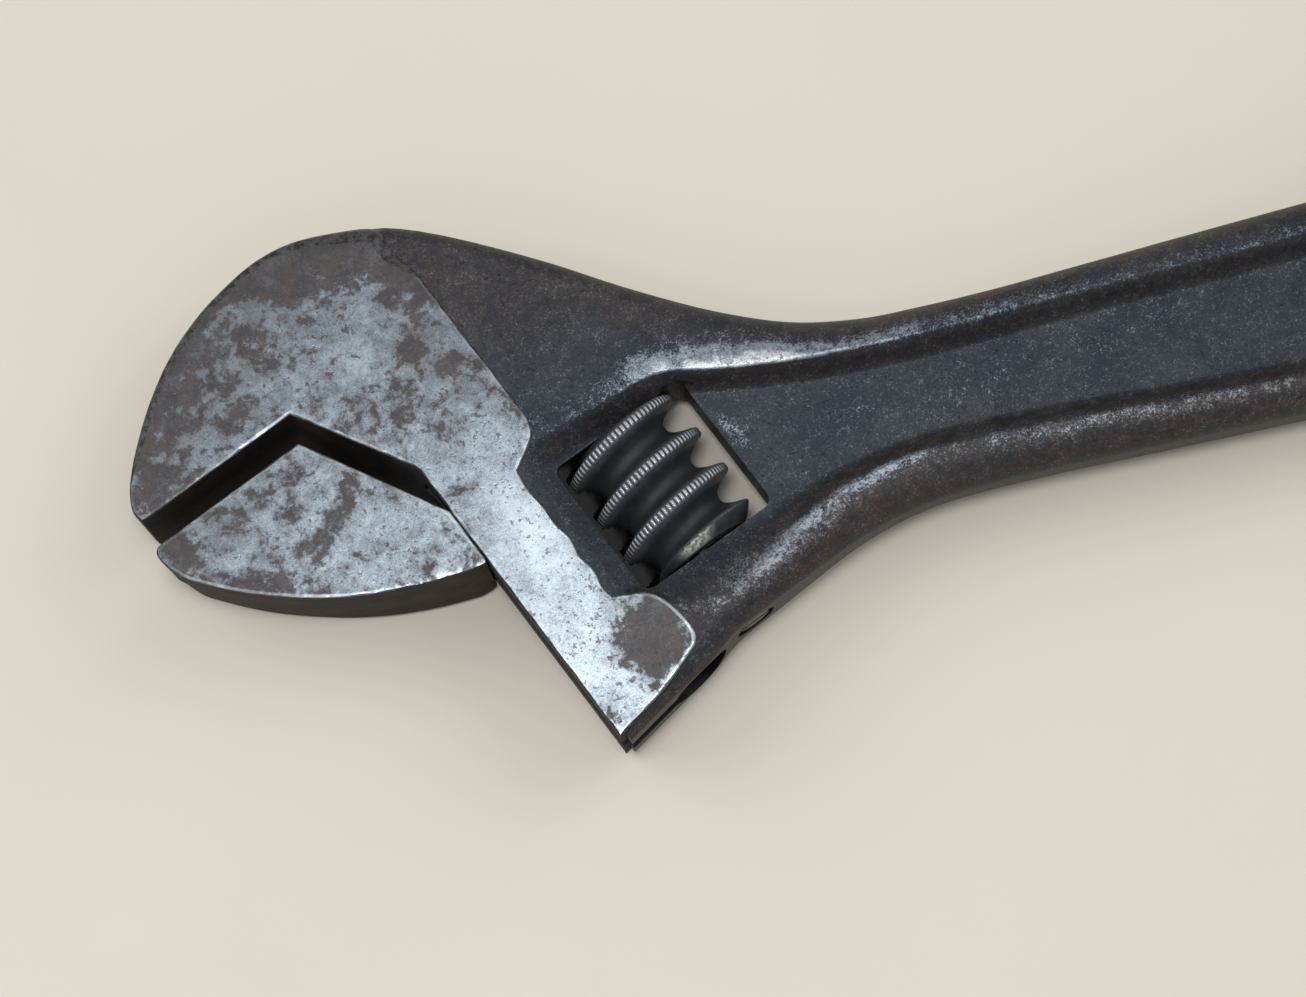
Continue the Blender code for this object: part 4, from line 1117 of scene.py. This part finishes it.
def knurl_finish(material):
    """Black steel, dark in the valleys, then the lighter shoulder, grooves, ribs and bare cone."""
    on = Finish(material)
    crest, rib, groove, cone = [on.mark(name) for name in ("crest", "rib", "groove", "cone")]
    fine, lumps = on.grain(0.5, 8.0, 0.7), on.grain(3.0, 6.0, 0.6)
    colour = on.blend(on.soft(lumps, 0.4, 0.65), paint(66, 69, 74), paint(84, 88, 94))
    colour = on.blend(on.soft(crest, 0.0, 0.35, 0.6, 0.0), colour, paint(28, 28, 30))
    shoulder = on.times(on.soft(crest, 0.25, 0.7), on.soft(fine, 0.3, 0.6, 0.4, 1.0))
    colour = on.coat(shoulder, 0.5, colour, paint(112, 119, 127))
    colour = on.blend(groove, colour, paint(20, 20, 22))
    polished = on.times(rib, on.soft(fine, 0.3, 0.55, 0.7, 1.0))
    colour = on.coat(polished, 0.8, colour, paint(188, 194, 200))
    rubbed = on.times(cone, on.soft(on.spot(*RUBBED_CONE), 0.0, 0.7))
    bare = on.times(rubbed, on.soft(fine, 0.40, 0.58, 0.3, 1.0))
    colour = on.coat(bare, 0.9, colour, paint(214, 214, 210))
    metallic = on.calc("ADD", on.weighed((0.5, polished), (-0.35, bare)), 0.5, True)
    rough = on.weighed((1, on.soft(polished, 0, 1, 0.36, 0.18)), (0.16, fine), (0.35, groove),
                       (0.2, on.soft(crest, 0.0, 0.3, 1.0, 0.0)))
    on.show(colour, metallic, rough, fine, 0.03)
    return material


knurl.data.materials.append(knurl_finish(bpy.data.materials.new("wrench_knurl")))

# %% [markdown]
# ## Shading, and what each piece stands for
#
# Smooth shading with sharp edges kept where two faces meet at more than 38 degrees. A Weighted
# Normal modifier lets each flat face keep its own direction, so the narrow eased edge does all the
# turning. Then every piece is tied to its CAD body and takes the place of its CAD node.

# %% Tie the pieces to the frame
pieces = [
    (head, "body", "body", "forged_steel"),
    (jaw, "sliding_jaw", "jaw", "ground_steel"),
    (knurl, "knurl", "knurl", "black_steel"),
    (pin, "knurl_pin", "body", "pin_steel"),
    (spring, "knurl_spring", "body", "spring_steel"),
]
for piece, cad_node, body, slot in pieces:
    piece.data.shade_smooth()
    piece.data.set_sharp_from_angle(angle=math.radians(38))
    weighted = piece.modifiers.new("keep flats flat", "WEIGHTED_NORMAL")
    weighted.keep_sharp = True
    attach(piece, body)
    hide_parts(cad_node)
    print(f"{piece.name} rides on {body}, stands for {cad_node}: {len(piece.data.polygons)} faces")

# %% [markdown]
# ## The table, the lights and the camera
#
# A plain pale table lies under the knurl, the lowest part. The light is even and soft all round.
# One smaller soft lamp hangs nearly over the head: flat steel shows a bright sheen where it
# mirrors that lamp toward the viewer, strongest at the guide strip.

# %% The table
TABLE_Z = cad_box[0][2] - 0.00005
table_mesh = bpy.data.meshes.new("table")
table_corners = [(x, y, TABLE_Z) for x, y in ((-2, -2), (2, -2), (2, 2), (-2, 2))]
table_mesh.from_pydata(table_corners, [], [(0, 1, 2, 3)])
table = put_in_scene("table", table_mesh)
table_mesh.materials.append(bpy.data.materials.new("table_finish"))
pale = Finish(table_mesh.materials[0])
cloudy = pale.blend(pale.grain(60.0, 4.0), paint(220, 213, 199), paint(227, 221, 208))
pale.fill(pale.shader, {"Base Color": cloudy, "Roughness": 0.7})
print("table at", round(TABLE_Z / MM, 2), "mm")


# %% The lights
def soft_lamp(name, place, size, watts, aim=(0.04, -0.01, 0.0)):
    """A square lamp of this size in metres, turned toward the wrench."""
    lamp = put_in_scene(name, bpy.data.lights.new(name, "AREA"))
    lamp.data.shape, lamp.data.size, lamp.data.energy = "SQUARE", size, watts
    lamp.location, lamp.visible_camera = place, False
    lamp.rotation_euler = (Vector(aim) - Vector(place)).to_track_quat("-Z", "Y").to_euler()


soft_lamp("key_lamp", (0.024, -0.050, 0.45), 0.09, 0.7, (0.024, -0.050, 0.0))
soft_lamp("left_softbox", (-0.70, 0.45, 0.75), 0.8, 3.0)
soft_lamp("right_softbox", (0.95, 0.30, 0.80), 0.8, 3.0)
world = bpy.data.worlds.new("studio")
world.use_nodes = True
background = world.node_tree.nodes["Background"].inputs
background["Color"].default_value = (1.0, 1.0, 1.0, 1.0)
background["Strength"].default_value = 0.45
bpy.context.scene.world = world
print("three lamps, and a white sky at", round(background["Strength"].default_value, 2))

# %% The camera
camera = put_in_scene("camera", bpy.data.cameras.new("camera"))
camera.data.sensor_width = 36.0
camera.data.lens = 110.26
camera.data.clip_start, camera.data.clip_end = 0.01, 10.0
camera.location = (0.0434, -0.1073, 0.4473)
camera.rotation_euler = Euler([math.radians(d) for d in (11.468, 2.483, -14.250)])
bpy.context.scene.camera = camera
bpy.context.scene.view_settings.view_transform = "Standard"
print("camera at", [round(v, 3) for v in camera.location], "lens", round(camera.data.lens, 1), "mm")
